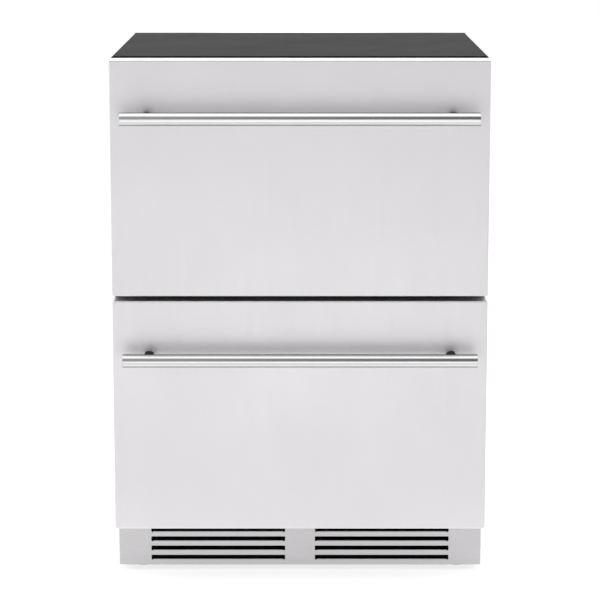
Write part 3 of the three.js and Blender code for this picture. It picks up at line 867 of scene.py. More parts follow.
def gasket(z0):
    """A magnetic gasket: two bellows folds a side, and a sealing face with a shallow channel."""
    line = [
        (0.9, -224.4), (0.2, -224.1), (0, -223.6), (0, -223.1), (0.9, -222.7), (1.3, -222.3), (0.9, -221.9),
        (0, -221.5), (0, -220.2), (0.3, -219.6), (1.0, -219.3), (5.6, -219.3), (6.2, -219.7), (9.8, -219.7),
        (10.4, -219.3), (15.0, -219.3), (15.7, -219.6), (16, -220.2), (16, -221.5), (15.1, -221.9),
        (14.7, -222.3), (15.1, -222.7), (16, -223.1), (16, -223.6), (15.8, -224.1), (15.1, -224.4),
    ]
    rings = [
        (-299.5 + d, 299.5 - d, z0 + 2.5 + d, z0 + 377.5 - d, 5 - d, y) for d, y in line
    ]
    return loft(rings, "y", 4, closed_loop=True)


def front_liner(z0):
    """Moulded inner panel: a flat flange under the gasket and a raised plinth with soft edges and a recessed field."""
    rings = [
        (-250, 250, 45, 327, 8, -208.0),
        (-253, 253, 42, 330, 10, -211.0),
        (-253, 253, 42, 330, 10, -224.0),
        (-254.6, 254.6, 40.4, 331.6, 11, -226.2),
        (-300.0, 300.0, 3.0, 377.0, 3, -226.2),
        (-300.5, 300.5, 2.5, 377.5, 3.5, -225.9),
        (-300.5, 300.5, 2.5, 377.5, 3.5, -225.0),
        (-300.2, 300.2, 2.8, 377.2, 3.2, -224.7),
        (-260.0, 260.0, 35.0, 337.0, 17, -224.7),
        (-257.6, 257.6, 37.4, 334.6, 15, -224.3),
        (-255.8, 255.8, 39.2, 332.8, 14, -223.2),
        (-255, 255, 40, 332, 13.2, -221.2),
        (-255, 255, 40, 332, 13.2, -212.0),
    ]
    for c, s in arc(6, 0, 90, 5)[1:]:
        inset = 6 - c
        rings.append((-255 + inset, 255 - inset, 40 + inset, 332 - inset, 13.2 - inset, -212 + s))
    rings += [
        (-233, 233, 62, 310, 9, -206.0),
        (-232, 232, 63, 309, 8, -206.15),
        (-230.4, 230.4, 64.6, 307.4, 7, -206.75),
        (-229, 229, 66, 306, 6, -206.9),
    ]
    rings = [(a, b, z0 + c, z0 + d, r, y) for a, b, c, d, r, y in rings]
    return loft(rings, "y", 5)


def handle_bar(z0):
    e = BAR_HALF
    profile = [(0, -e + 0.5), (7.8, -e + 0.4), (8.4, -e), (9.5, -e)]
    profile += [(9.5 + 1.0 * math.sin(t), -e + 1.0 * (1 - math.cos(t))) for t in
                [math.radians(90 * i / 4) for i in range(1, 5)]]
    profile += [(r, -h) for r, h in reversed(profile)]
    return lathe(profile, "x", (0, BAR_Y, z0 + BAR_Z), 72)


def handle_post(z0, side):
    """A round standoff, cut to sit on the bar, with a slight weld bead there and a turned foot at the drawer face."""
    x, z = side * POST_X, z0 + BAR_Z
    seg = 48
    foot = FACE_Y - 0.3
    profile = [(0, foot), (7.0, foot), (8.0, foot - 0.5), (8.0, foot - 2.2), (7.7, foot - 2.6), (7.7, foot - 3.2),
               (8.0, foot - 3.6)]
    rings = []
    for r, y in profile:
        rings.append([(x + r * math.cos(2 * math.pi * i / seg), y, z + r * math.sin(2 * math.pi * i / seg))
                      for i in range(seg)])
    for r, gap in ((8.0, 1.4), (8.0, 0.9)):
        ring = []
        for i in range(seg):
            t = 2 * math.pi * i / seg
            h = r * math.sin(t)
            y = BAR_Y + math.sqrt(max((BAR_R + gap) ** 2 - h * h, 1.0))
            ring.append((x + r * math.cos(t), y, z + h))
        rings.append(ring)
    for r, gap in ((7.6, 0.3), (0.0, 0.3)):
        ring = []
        for i in range(seg):
            t = 2 * math.pi * i / seg
            h = r * math.sin(t)
            y = BAR_Y + math.sqrt(max((BAR_R + gap) ** 2 - h * h, 1.0))
            ring.append((x + r * math.cos(t), y, z + h))
        rings.append(ring)
    return skin_rings(rings, caps=(False, False))


for level, z0 in (("upper", UPPER_Z), ("lower", LOWER_Z)):
    body = f"{level}_drawer"
    piece(f"{level}_front_skin_finish", Shape().add(front_skin(z0)), body, FRONT_STEEL,
          f"{level}_front_skin")
    piece(f"{level}_gasket_finish", Shape().add(gasket(z0)), body, GASKET, f"{level}_gasket")
    piece(f"{level}_front_liner_finish", Shape().add(front_liner(z0)), body, LINER,
          f"{level}_front_liner")
    piece(f"{level}_handle_bar_finish", Shape().add(handle_bar(z0)), body, HANDLE_STEEL,
          f"{level}_handle_bar", angle=30)
    for hand, side in (("left", -1), ("right", 1)):
        piece(f"{level}_{hand}_handle_post_finish", Shape().add(handle_post(z0, side)), body,
              HANDLE_STEEL, f"{level}_{hand}_handle_post", angle=30)
    dress(f"{level}_front_foam", FOAM)


# ================================================================ cabinet
def wrapper():
    """Both sides and the top, bent from one sheet, with a flange turned in round the front opening."""
    rc = 2.6
    t = 1.2
    line = [(0, 0, 329.5), (0, 0, -181.0), (0, 0, -218.3)]
    for i in range(1, 5):
        a = math.radians(90 * i / 4)
        d = 0.7 * (1 - math.cos(a))
        line.append((d, d, -218.3 - 0.7 * math.sin(a)))
    line += [(21.7, 23.7, -219.0), (22, 24, -218.7), (22, 24, -218.1), (21.7, 23.7, -217.8), (2.0, 2.0, -217.8),
             (t + 0.2, t + 0.2, -217.6), (t, t, -217.0), (t, t, -181.0), (t, t, 329.5)]
    stations = [("side", -1, 14.0), ("side", -1, 94.5)]
    stations += [("corner", -1, a) for a in (0, 18, 36, 54, 72, 90)]
    stations += [("corner", 1, a) for a in (90, 72, 54, 36, 18, 0)]
    stations += [("side", 1, 94.5), ("side", 1, 14.0)]

    def at(station, ds, dt):
        kind, side, value = station
        if kind == "side":
            return side * (HALF_W - ds), value
        if ds >= rc:
            return side * (HALF_W - ds), TOP_Z - dt
        a = math.radians(value)
        r = rc - ds
        return side * (HALF_W - rc + r * math.cos(a)), TOP_Z - rc + r * math.sin(a)

    verts, faces = [], []
    n = len(stations)
    for ds, dt, y in line:
        for st in stations:
            x, z = at(st, ds, dt)
            verts.append((x, y, z))
    last = len(line) - 1
    for i in range(last):
        for j in range(n - 1):
            low = j in (0, n - 2)
            if low and 0 < i < last - 1:
                continue
            a, b = i * n + j, i * n + j + 1
            faces.append((a, b, b + n, a + n))
    for j in range(n - 1):
        faces.append((j, j + 1, last * n + j + 1, last * n + j))
    for j in (0, n - 1):
        faces.append((j, n + j, (last - 1) * n + j, last * n + j))
    for j, k in ((0, 1), (n - 1, n - 2)):
        faces.append((n + j, n + k, (last - 1) * n + k, (last - 1) * n + j))
        faces.append(tuple(i * n + k for i in range(1, last)))
    return verts, faces


shell = piece("cabinet_wrapper_finish", Shape().add(wrapper()), "cabinet", CABINET_PAINT,
              "cabinet_wrapper", bevel=0.25)
shell.modifiers.new("weld", "WELD").merge_threshold = 0.000002
shell.modifiers.move(2, 1)


# ================================================================ toe grille
def toe_grille():
    s = Shape()
    y0, y1 = -197.0, -195.5
    z0, z1 = 10.0, 93.0
    r = 1.7
    slots = []
    for side in (-1, 1):
        for row in range(4):
            top = 27 + row * 16
            low = top - 7.8
            a, b = (25.0, 249.0) if side > 0 else (-249.0, -25.0)
            slots.append((a, b, low, top))

    def hole(slot):
        a, b, low, top = slot

        def outline(grow):
            g = grow
            pts = [
                (a - g, top + g), (a - g, low - g), (a + 3.2 + g, low - g), (a + 3.2 + g, low + 0.7 - g),
                (b - 3.2 - g, low + 0.7 - g), (b - 3.2 - g, low - g), (b + g, low - g), (b + g, top + g),
            ]
            rad = [0.9, 1.3, 0.5, 0.25, 0.25, 0.5, 1.3, 0.9]
            return round_corners(pts, rad, 3, closed=True)

        return outline

    holes = [hole(x) for x in slots]
    # pan: rounded edges, sides and returns, open behind; the face is filled separately, with its slots
    line = [(r * (1 - math.sin(t)), y0 + r * (1 - math.cos(t))) for t in
            [math.radians(90 * i / 5) for i in range(6)]]
    line += [(0, -187.3), (0.3, -187.0), (1.2, -187.0), (1.5, -187.3), (1.5, y1 + 0.3), (1.8, y1)]
    rings = [(-HALF_W + d, HALF_W - d, z0 + d, z1 - d, 1.9 - d, y) for d, y in line]
    verts, faces = loft(rings, "y", 3, caps=(False, False))

    def put(points, y):
        base = len(verts)
        verts.extend((a, y, b) for a, b in points)
        return base

    e = 0.3
    front = rect_ring(-HALF_W + r, HALF_W - r, z0 + r, z1 - r, 0.2, 3)
    back = rect_ring(-HALF_W + 1.8, HALF_W - 1.8, z0 + 1.8, z1 - 1.8, 0.1, 3)
    for outline, y in ((front, y0), (back, y1)):
        pts, tris = fill(outline, [h(e) for h in holes])
        base = put(pts, y)
        faces.extend(tuple(base + i for i in t) for t in tris)
    for h in holes:
        bases = [put(h(g), y) for g, y in ((e, y0), (0, y0 + e), (0, y1 - e), (e, y1))]
        n = len(h(0))
        for a, b in zip(bases, bases[1:]):
            for i in range(n):
                j = (i + 1) % n
                faces.append((a + i, a + j, b + j, b + i))
    s.add((verts, faces))
    # side tabs that hold the pan to the cabinet
    for side in (-1, 1):
        x0, x1 = (301.5, 303.0) if side > 0 else (-303.0, -301.5)
        s.add(rbox(x0, x1, -189.0, -181.4, 12, 91, 0.4, 2))
    # curled lower lip of each slot
    for a, b, low, top in slots:
        t = 1.2
        path = [(-196.3, low - 1.2), (-196.3, low + 0.75), (-194.9, low + 0.75), (-190.9, low - 2.2)]
        outline = sheet_outline(path, t, [0, 0.75, 0.9, 0], 5)
        s.add(prism_soft(outline, "x", a + 3.2, b - 3.2, 0.25))
    return s


piece("toe_grille_finish", toe_grille(), "cabinet", SHADED_GRILLE_STEEL, "toe_grille", angle=32)

# ================================================================ rear of the cabinet
def smooth_step(a, b, x):
    t = max(0.0, min(1.0, (x - a) / (b - a)))
    return t * t * (3 - 2 * t)


def rect_depth(x, z, x0, x1, z0, z1, r):
    """Distance inside a rectangle with round corners: above 0 inside, below 0 outside."""
    px = abs(x - (x0 + x1) / 2) - (x1 - x0) / 2 + r
    pz = abs(z - (z0 + z1) / 2) - (z1 - z0) / 2 + r
    out = math.hypot(max(px, 0), max(pz, 0)) + min(max(px, pz), 0) - r
    return -out


def relief(xs, zs, height, back):
    """A pressed panel: its outer face follows height(x, z) along y, its inner face is flat at back."""
    nx, nz = len(xs), len(zs)
    verts = [(x, height(x, z), z) for z in zs for x in xs]
    faces = []
    for k in range(nz - 1):
        for i in range(nx - 1):
            a = k * nx + i
            faces.append((a, a + 1, a + nx + 1, a + nx))
    loop = [i for i in range(nx)] + [k * nx + nx - 1 for k in range(1, nz)]
    loop += [(nz - 1) * nx + i for i in range(nx - 2, -1, -1)] + [k * nx for k in range(nz - 2, 0, -1)]
    base = len(verts)
    for i in loop:
        x, _, z = verts[i]
        verts.append((x, back, z))
    n = len(loop)
    for i in range(n):
        j = (i + 1) % n
        faces.append((loop[i], loop[j], base + j, base + i))
    faces.append(tuple(range(base, base + n)))
    return verts, faces


def lines_near(edges, span, lo, hi, coarse=60):
    """Grid lines: close together at the edges given, far apart elsewhere."""
    out = {lo, hi}
    for e in edges:
        for d in (-span, -span * 0.66, -span * 0.33, 0, span * 0.33, span * 0.66, span, span * 1.6):
            for s in (1, -1):
                v = e + s * d
                if lo < v < hi:
                    out.add(round(v, 3))
    k = lo
    while k < hi:
        out.add(round(k, 3))
        k += coarse
    ordered = sorted(out)
    kept = [ordered[0]]
    for v in ordered[1:]:
        if v - kept[-1] > 0.35:
            kept.append(v)
    kept[-1] = hi
    return kept


def rear_panel():
    s = Shape()
    x0, x1, z0, z1 = -HALF_W, HALF_W, 207.3, TOP_Z
    beads = [(-238, 238, z - 9, z + 9) for z in (300, 395, 490, 585, 680, 775)]

    def height(x, z):
        rim = min(x - x0, x1 - x, z - z0, z1 - z)
        field = smooth_step(0, 2.0, rect_depth(x, z, -276, 276, 235, 838, 12))
        bead = max(smooth_step(0, 2.0, rect_depth(x, z, *b, 9)) for b in beads)
        return 330.3 - 0.35 * (1 - smooth_step(0, 0.7, rim)) + 0.68 * field - 0.68 * bead

    xs = lines_near([-275, 275, -237, 237, -232, 232], 2.4, x0, x1)
    xs = sorted(set(xs) | {x0 + 0.7, x1 - 0.7})
    zs = lines_near([236, 837] + [v for b in beads for v in (b[2] + 1, b[3] - 1)], 1.5, z0, z1)
    zs = sorted(set(zs) | {z0 + 0.7, z1 - 0.7})
    s.add(relief(xs, zs, height, 329.8))
    for x in (-289, 289):
        for z in (222, 330, 440, 550, 660, 770, 850):
            add_screw(s, x, 330.3, z, 4.0, 0.66, "+y", 1)
    for x in (-180, -60, 60, 180):
        for z in (221, 851):
            add_screw(s, x, 330.3, z, 4.0, 0.66, "+y", 1)
    return s


def machine_cover():
    s = Shape()
    holes = [lambda g: slot_outline(-262, -232, 54, 78, 1.5, g)]
    for i in range(10):
        a = 50 + i * 22
        holes.append(lambda g, a=a: slot_outline(a, a + 6, 100, 180, 3, g))
        if i < 8:
            b = -200 + i * 22
            holes.append(lambda g, b=b: slot_outline(b, b + 6, 100, 180, 3, g))
    s.add(plate(lambda g: slot_outline(-HALF_W, HALF_W, 14, 207, 2, g), holes, "y", 329.8, 330.5, 0.2))
    # pressed rims round the vent banks and the inlet
    for a0, a1, b0, b1, r in ((-210, -36, 90, 190, 8), (40, 264, 90, 190, 8), (-268, -226, 48, 84, 5)):
        rings = []
        for d, y in ((0, 330.45), (0.6, 330.8), (1.4, 331.0), (2.2, 330.8), (2.8, 330.45)):
            rings.append((a0 + d, a1 - d, b0 + d, b1 - d, r - d, y))
        rings.append((a0 + 2.8, a1 - 2.8, b0 + 2.8, b1 - 2.8, r - 2.8, 330.2))
        rings.append((a0, a1, b0, b1, r, 330.2))
        s.add(loft(rings, "y", 5, closed_loop=True))
    for x in (-289, 289):
        for z in (28, 110, 193):
            add_screw(s, x, 330.5, z, 4.0, 0.48, "+y", 1)
    for x in (-150, 0, 150):
        for z in (26, 197):
            add_screw(s, x, 330.5, z, 4.0, 0.48, "+y", 1)
    return s


piece("rear_panel_finish", rear_panel(), "cabinet", [ZINC_STEEL, SCREW_STEEL], "rear_panel", angle=40)
piece("machine_cover_finish", machine_cover(), "cabinet", [ZINC_STEEL, SCREW_STEEL],
      "machine_cover", angle=40)
dress("base_pan", CABINET_PAINT, 0.3)
dress("cabinet_floor", CABINET_PAINT, 0.3)
dress("mullion_rail", CABINET_PAINT, 0.3)
dress("cabinet_foam", FOAM)


def inlet():
    """A moulded power inlet: flange, body and a socket with rounded corners; its three blades are made after it."""
    s = Shape()
    rings = [
        (-260, -234, 56, 76, 1.5, 306.0), (-260.0, -234.0, 56, 76, 2, 306.5), (-260, -234, 56, 76, 2, 326.2),
        (-264, -230, 52, 80, 3, 326.2), (-264, -230, 52, 80, 3, 327.4), (-263.6, -230.4, 52.4, 79.6, 2.6, 327.8),
        (-260, -234, 56, 76, 2, 327.8), (-260, -234, 56, 76, 2, 328.9), (-259.6, -234.4, 56.4, 75.6, 1.6, 329.3),
        (-258.4, -235.6, 58.1, 73.9, 3.2, 329.3), (-258, -236, 58.5, 73.5, 3, 328.9),
        (-258, -236, 58.5, 73.5, 3, 312.4), (-257.6, -236.4, 58.9, 73.1, 2.6, 312.0),
    ]
    s.add(loft(rings, "y", 4))
    return s


piece("power_inlet_finish", inlet(), "cabinet", BLACK_PLASTIC, "power_inlet")
pins = Shape()
for x, z in ((-247, 69.2), (-252.5, 63.4), (-241.5, 63.4)):
    pins.add(rbox(x - 1.0, x + 1.0, 311.5, 325.5, z - 2.1, z + 2.1, 0.6, 3))
piece("power_inlet_blades", pins, "cabinet", RAIL_STEEL)


# ================================================================ levelling legs
def leg(x, y):
    """A turned foot, a hexagon to turn it by, and a rolled thread."""
    s = Shape()
    s.add(lathe([(0, 0), (15.5, 0), (16.8, 0.3), (17.7, 1.0), (18, 2.0), (18, 3.9), (17.6, 4.6), (16.6, 5.0),
                 (13, 5.6), (10.2, 6.5), (9.0, 7.2), (8.4, 7.4), (0, 7.4)], "z", (x, y, 0), 48))
    hexagon = [(8.9 * math.cos(math.radians(60 * i)), 8.9 * math.sin(math.radians(60 * i))) for i in range(6)]
    rings = []
    for k, z in ((0.9, 6.9), (1.0, 7.5), (1.0, 10.0), (0.9, 10.5)):
        rings.append([(x + a * k, y + b * k, z) for a, b in hexagon])
    s.add(skin_rings(rings))
    profile = [(0, 10.0), (5.1, 10.0)]
    z = 10.8
    while z < 50.6:
        profile += [(5.1, z), (5.85, z + 0.5), (5.85, z + 0.7)]
        z += 1.25
    profile += [(5.1, 51.2), (4.6, 51.8), (0, 51.9)]
    s.add(lathe(profile, "z", (x, y, 0), 28))
    return s


for name, x, y in (("front_left", -265, -150), ("front_right", 265, -150), ("rear_left", -265, 300),
                   ("rear_right", 265, 300)):
    piece(f"{name}_leg_finish", leg(x, y), f"{name}_foot", RAIL_STEEL, f"{name}_leg", angle=30)


# ================================================================ food liners
def lip(outer, inner, h0, h1, r_out, r_in, axis="y", edge=0.35, seg=5):
    """A flat frame with broken edges, between heights h0 and h1."""
    (a0, a1, b0, b1), (c0, c1, d0, d1) = outer, inner
    rings = []
    for g, h in ((edge, h0), (0, h0 + edge), (0, h1 - edge), (edge, h1)):
        rings.append((a0 + g, a1 - g, b0 + g, b1 - g, r_out - g, h))
    for g, h in ((edge, h1), (0, h1 - edge), (0, h0 + edge), (edge, h0)):
        rings.append((c0 - g, c1 + g, d0 - g, d1 + g, r_in + g, h))
    return loft(rings, axis, seg, closed_loop=True)


def cavity(outline, x, y_front):
    """An open-fronted cavity: a (y, z) outline that starts and ends at the front, between two side walls."""
    pts = [(y_front if i in (0, len(outline) - 1) else p[0], p[1]) for i, p in enumerate(outline)]
    verts = [(-x, y, z) for y, z in pts] + [(x, y, z) for y, z in pts]
    n = len(pts)
    faces = [(i, i + 1, n + i + 1, n + i) for i in range(n - 1)]
    faces += [tuple(range(n)), tuple(range(2 * n - 1, n - 1, -1))]
    return verts, faces


UPPER_CAVITY = [(-219, 504), (285, 504), (285, 822), (-219, 822)]
LOWER_CAVITY = [(-219, 128), (45, 128), (45, 235), (285, 235), (285, 452), (-219, 452)]
for name, outline, frame_box in (
    ("upper_liner", UPPER_CAVITY, (-280.7, 280.7, 502.5, 839.7)),
    ("lower_liner", LOWER_CAVITY, (-280.7, 280.7, 126.5, 453.5)),
):
    s = Shape()
    v, f = cavity(outline, 263, -218.3)
    s.add(folded(v, f, 9, -1.5, 5))
    low, high = outline[0][1], outline[-1][1]
    s.add(lip(frame_box, (-263, 263, low, high), -219, -217.5, 3, 9))
    piece(f"{name}_finish", s, "cabinet", LINER, name, angle=35)


# ================================================================ bins
def bin_shape(outline, rim):
    """A bin bent from sheet, folds rounded, with a rim turned outwards. outline is the inside, as (y, z)."""
    s = Shape()
    x = 246.3
    pts = [(y, z) for y, z in outline]
    verts = [(-x, y, z) for y, z in pts] + [(x, y, z) for y, z in pts]
    n = len(pts)
    faces = [(i, i + 1, n + i + 1, n + i) for i in range(n - 1)]
    faces += [tuple(range(n)), tuple(range(2 * n - 1, n - 1, -1))]
    s.add(folded(verts, faces, 8, -1.2, 5))
    s.add(lip((-257, 257, -205.7, 250), (-246.3, 246.3, -204.5, 243.8), rim - 1.2, rim, 5, 8, "z", 0.3))
    return s


upper_inside = [(-204.5, UPPER_Z + 277.4), (-204.5, UPPER_Z + 35.2), (243.8, UPPER_Z + 35.2), (243.8, UPPER_Z + 277.4)]
lower_inside = [(-204.5, LOWER_Z + 289.4), (-204.5, LOWER_Z + 46.7), (32.8, LOWER_Z + 46.7),
                (32.8, LOWER_Z + 153.7), (243.8, LOWER_Z + 153.7), (243.8, LOWER_Z + 289.4)]
piece("upper_bin_finish", bin_shape(upper_inside, UPPER_Z + 278), "upper_drawer", BIN_STEEL,
      "upper_bin", angle=35)
piece("lower_bin_finish", bin_shape(lower_inside, LOWER_Z + 290), "lower_drawer", BIN_STEEL,
      "lower_bin", angle=35)


# ================================================================ slides
def slide_member(side, web, lip_x, half, t, y0, y1):
    middle = (web[0] + web[1]) / 2
    h = half - t / 2
    path = [(lip_x, -h), (middle, -h), (middle, h), (lip_x, h)]
    outline = [(side * a, b) for a, b in sheet_outline(path, t, 1.9, 4)]
    return prism_soft(outline, "y", y0, y1, 0.3)


def lifted(made, z):
    return [(a, b, c + z) for a, b, c in made[0]], made[1]


for level, z in (("upper", UPPER_Z + 205), ("lower", LOWER_Z + 205)):
    for hand, side in (("left", -1), ("right", 1)):
        s = Shape()
        s.add(lifted(slide_member(side, (261.5, 262.7), 250.6, 22.5, 1.2, -200, 248), z))
        for y in (-172, -70, 60, 160, 228):
            add_screw(s, side * 261.5, y, z, 4.2, 1.2, ("-" if side > 0 else "+") + "x")
        s.add(rbox(*sorted((side * 251.5, side * 261.8)), 245.4, 247.6, z - 20.5, z + 20.5, 0.6, 2))
        piece(f"{level}_{hand}_cabinet_rail_finish", s, "cabinet", RAIL_STEEL,
              f"{level}_{hand}_cabinet_rail", angle=35)

        s = Shape()
        s.add(lifted(slide_member(side, (258.6, 259.8), 250.6, 18.5, 1.2, -200, 248), z))
        for zz, rows in ((19.9, range(44, 240, 14)), (15.9, range(-190, 16, 14))):
            for sign in (-1, 1):
                for y in rows:
                    s.add(ball((side * 254.4, y, z + sign * zz), 1.3, 8, 5))
                s.add(rbox(*sorted((side * 252.6, side * 256.2)), min(rows) - 6, max(rows) + 6,
                           z + sign * zz - 0.25, z + sign * zz + 0.25, 0.2, 1))
        piece(f"{level}_{hand}_middle_rail_finish", s, f"{level}_middle_rails", RAIL_STEEL,
              f"{level}_{hand}_middle_rail", angle=35)

        s = Shape()
        s.add(lifted(slide_member(side, (247.8, 249.0), 257.0, 14.5, 1.2, -205.6, 248), z))
        for y in (-168, -80, 30, 130, 222):
            add_screw(s, side * 249.0, y, z, 4.0, 1.3, ("+" if side > 0 else "-") + "x")
        piece(f"{level}_{hand}_drawer_rail_finish", s, f"{level}_drawer", RAIL_STEEL,
              f"{level}_{hand}_drawer_rail", angle=35)


# ================================================================ inside the upper compartment
def evaporator_cover():
    s = Shape()
    holes = []
    for i in range(4):
        holes.append(lambda g, i=i: slot_outline(-200, 200, 522 + i * 12, 527 + i * 12, 2.5, g))
    for i in range(-4, 5):
        half = math.sqrt(46 * 46 - (i * 10) ** 2)
        holes.append(lambda g, i=i, half=half: slot_outline(-half, half, 737.5 + i * 10, 742.5 + i * 10, 2.5, g))
    s.add(plate(lambda g: slot_outline(-262.6, 262.6, 504.4, 821.6, 9, g), holes, "y", 253, 254.5, 0.3))
    ring = [(50.5, 253.3), (50.7, 252.6), (51.6, 252.2), (53.4, 252.2), (54.3, 252.6), (54.5, 253.3)]
    s.add(ring_lathe(ring, "y", (0, 0, 740), 72))
    for x in (-245, 245):
        for z in (590, 800):
            add_screw(s, x, 253, z, 4.5, 0.9, "-y")
    for z in (600, 640):
        s.add(loft([(-225, 225, z, z + 5, 2.5, 253.2), (-225, 225, z, z + 5, 2.5, 252.7),
                    (-224.4, 224.4, z + 0.6, z + 4.4, 1.9, 252.3)], "y", 5))
    return s


piece("evaporator_cover_finish", evaporator_cover(), "cabinet", WHITE_PLASTIC, "evaporator_cover",
      angle=35)


def coil(x0, x1, rows, z_list, fins, fin_box, tube_r):
    """A plate-fin coil: upright fins on serpentine tubes."""
    s = Shape()
    fy0, fy1, fz0, fz1, t = fin_box
    for i in range(fins):
        x = x0 + (x1 - x0) * i / (fins - 1)
        s.add(loft([(x - t / 2, x + t / 2, fy0, fy1, 0, fz0), (x - t / 2, x + t / 2, fy0, fy1, 0, fz1)], "z", 1))
    for y in rows:
        pts = []
        for k, z in enumerate(z_list):
            ends = (x0 - tube_r * 2.2, x1 + tube_r * 2.2)
            a, b = ends if k % 2 == 0 else ends[::-1]
            pts += [(a, z), (b, z)]
        rad = abs(z_list[1] - z_list[0]) / 2 - 0.01
        line = round_corners(pts, [rad] * len(pts), 8)
        s.add(tube([(a, y, b) for a, b in line], tube_r, 12))
    return s


s = coil(-220, 180, (263.5, 275.0), (551, 573, 595, 617, 639), 72, (258.2, 280.4, 541, 649, 0.25), 3.2)
s.add(tube([(179, 270, 620), (185, 270, 620), (193.5, 270, 620)], 3, 14))
s.add(tube([(179, 270, 606), (185, 270, 606), (193.5, 270, 606)], 2.5, 14))
piece("evaporator_coil_finish", s, "cabinet", FINS, "evaporator_coil", angle=35)

s = Shape()
s.add(lathe([(0, 268), (1.6, 268), (2, 268.4), (2, 276.8), (5.5, 277.2), (6, 277.5), (15.6, 277.5), (17, 278.9),
             (17, 280.4), (16.4, 280.8), (16.4, 281.6), (17, 282.0), (17, 284.2), (16.6, 284.6), (0, 284.6)],
            "y", (0, 0, 740), 40))
piece("evaporator_fan_motor_finish", s, "cabinet", GREY_PLASTIC, "evaporator_fan_motor")


def fan_wheel(cx, cy, cz, r, hub, depth, blades, span, bore=2.5):
    """An axial wheel: a domed hub on a bore and swept, twisted blades."""
    s = Shape()
    h = depth / 2
    ring = [(bore, -h + 2), (hub * 0.45, -h + 0.6), (hub * 0.8, -h + 0.8), (hub - 0.2, -h + 2.0), (hub, -h + 3.0),
            (hub, h - 0.3), (hub - 0.4, h), (hub - 1.8, h), (hub - 1.8, -h + 4.4), (bore + 2.2, -h + 3.8),
            (bore + 2.2, h - 0.4), (bore, h - 0.4)]
    s.add(ring_lathe([(a, b) for a, b in ring], "y", (cx, cy, cz), 40))
    nr, nc = 7, 7
    for k in range(blades):
        base = 2 * math.pi * k / blades
        rings = {1: [], -1: []}
        for i in range(nr):
            f = i / (nr - 1)
            rr = hub - 0.5 + (r - hub + 0.5) * f
            for j in range(nc):
                u = j / (nc - 1) - 0.5
                angle = base + u * span * (1 + 0.12 * f) + 0.22 * f
                y = u * depth * (0.86 - 0.3 * f) + 0.10 * depth * (0.25 - u * u) * 4
                edge = 0.25 + 0.5 * (1 - (2 * u) ** 4)
                for sign in (1, -1):
                    yy = max(-h, min(h, y - 0.05 * depth + sign * edge))
                    rings[sign].append((cx + rr * math.cos(angle), cy + yy, cz + rr * math.sin(angle)))
        n = nr * nc
        verts = rings[1] + rings[-1]
        faces = []
        for i in range(nr - 1):
            for j in range(nc - 1):
                a = i * nc + j
                faces.append((a, a + 1, a + nc + 1, a + nc))
                faces.append((n + a, n + a + nc, n + a + nc + 1, n + a + 1))
        loop = [j for j in range(nc)] + [i * nc + nc - 1 for i in range(1, nr)]
        loop += [(nr - 1) * nc + j for j in range(nc - 2, -1, -1)] + [i * nc for i in range(nr - 2, 0, -1)]
        for i in range(len(loop)):
            a, b = loop[i], loop[(i + 1) % len(loop)]
            faces.append((a, n + a, n + b, b))
        s.add((verts, faces))
    return s


piece("evaporator_fan_wheel_finish", fan_wheel(0, 267.5, 740, 44, 15, 14, 6, 0.82), "evaporator_fan",
      GREY_PLASTIC, "evaporator_fan_wheel", angle=45)
piece("condenser_fan_wheel_finish", fan_wheel(-137, -126.5, 51, 32, 11, 8, 5, 0.95), "condenser_fan",
      GREY_PLASTIC, "condenser_fan_wheel", angle=45)

# air outlet of the lower compartment: a frame with three sloping vanes
s = Shape()
s.add(rbox(-89.5, 89.5, 283.1, 284.7, 395.5, 436.5, 0.4, 2, 3))
s.add(lip((-90, 90, 395, 437), (-81, 81, 400, 432), 281, 284.0, 3.5, 2.5, "y", 0.5))
for z in (406, 414, 422):
    vane = [(281.4, z + 1.4), (282.0, z + 2.2), (284.0, z - 0.6), (283.4, z - 1.4)]
    s.add(prism(round_corners(vane, 0.3, 2, closed=True), "x", -81.5, 81.5))
for x in (-27, 27):
    s.add(rbox(x - 0.7, x + 0.7, 281.6, 284.0, 399.5, 432.5, 0.3, 1))
piece("lower_air_outlet_finish", s, "cabinet", WHITE_PLASTIC, "lower_air_outlet")

# light strips: a prismatic lens with an end cap at each side
for level, ceiling in (("upper", 822), ("lower", 452)):
    s = Shape()
    outline = round_corners([(-185.6, ceiling - 0.3), (-182, ceiling - 7), (-168, ceiling - 7), (-164.4, ceiling - 0.3)],
                            [0.4, 2.2, 2.2, 0.4], 5, closed=True)
    s.add(prism_soft(outline, "x", -146.5, 146.5, 0.2))
    piece(f"{level}_light_finish", s, "cabinet", LENS, f"{level}_light", angle=30)
    s = Shape()
    outline = round_corners([(-186, ceiling - 0.3), (-182.4, ceiling - 7), (-167.6, ceiling - 7), (-164, ceiling - 0.3)],
                            [0.4, 2.4, 2.4, 0.4], 5, closed=True)
    for a, b in ((-150, -146.3), (146.3, 150)):
        s.add(prism_soft(outline, "x", a, b, 0.5))
    piece(f"{level}_light_end_caps", s, "cabinet", WHITE_PLASTIC, angle=30)

# control panel: a sloping black face under the ceiling, with generic touch marks
s = Shape()
outline = round_corners([(-203, 821.7), (-203, 812), (-190, 805), (-158, 815), (-158, 821.7)],
                        [0.8, 2.0, 3.0, 1.5, 0.8], 5, closed=True)
s.add(prism_soft(outline, "x", 165, 250, 0.8))
piece("control_panel_finish", s, "cabinet", GLASS, "control_panel", angle=30)

# marks lie on the slope that runs from (-203, 812) to (-190, 805)
slope = Vector((13, -7)).normalized()
outward = Vector((-7, -13)).normalized()


def mark(u0, u1, w0, w1):
    """A thin bar on the slope: u across the cabinet, w down the slope from its upper edge."""
    verts = []
    for h in (-0.1, 0.12):
        for u, w in ((u0, w0), (u1, w0), (u1, w1), (u0, w1)):
            p = Vector((-203, 812)) + slope * w + outward * h
            verts.append((u, p.x, p.y))
    return skin_rings([verts[:4], verts[4:]])


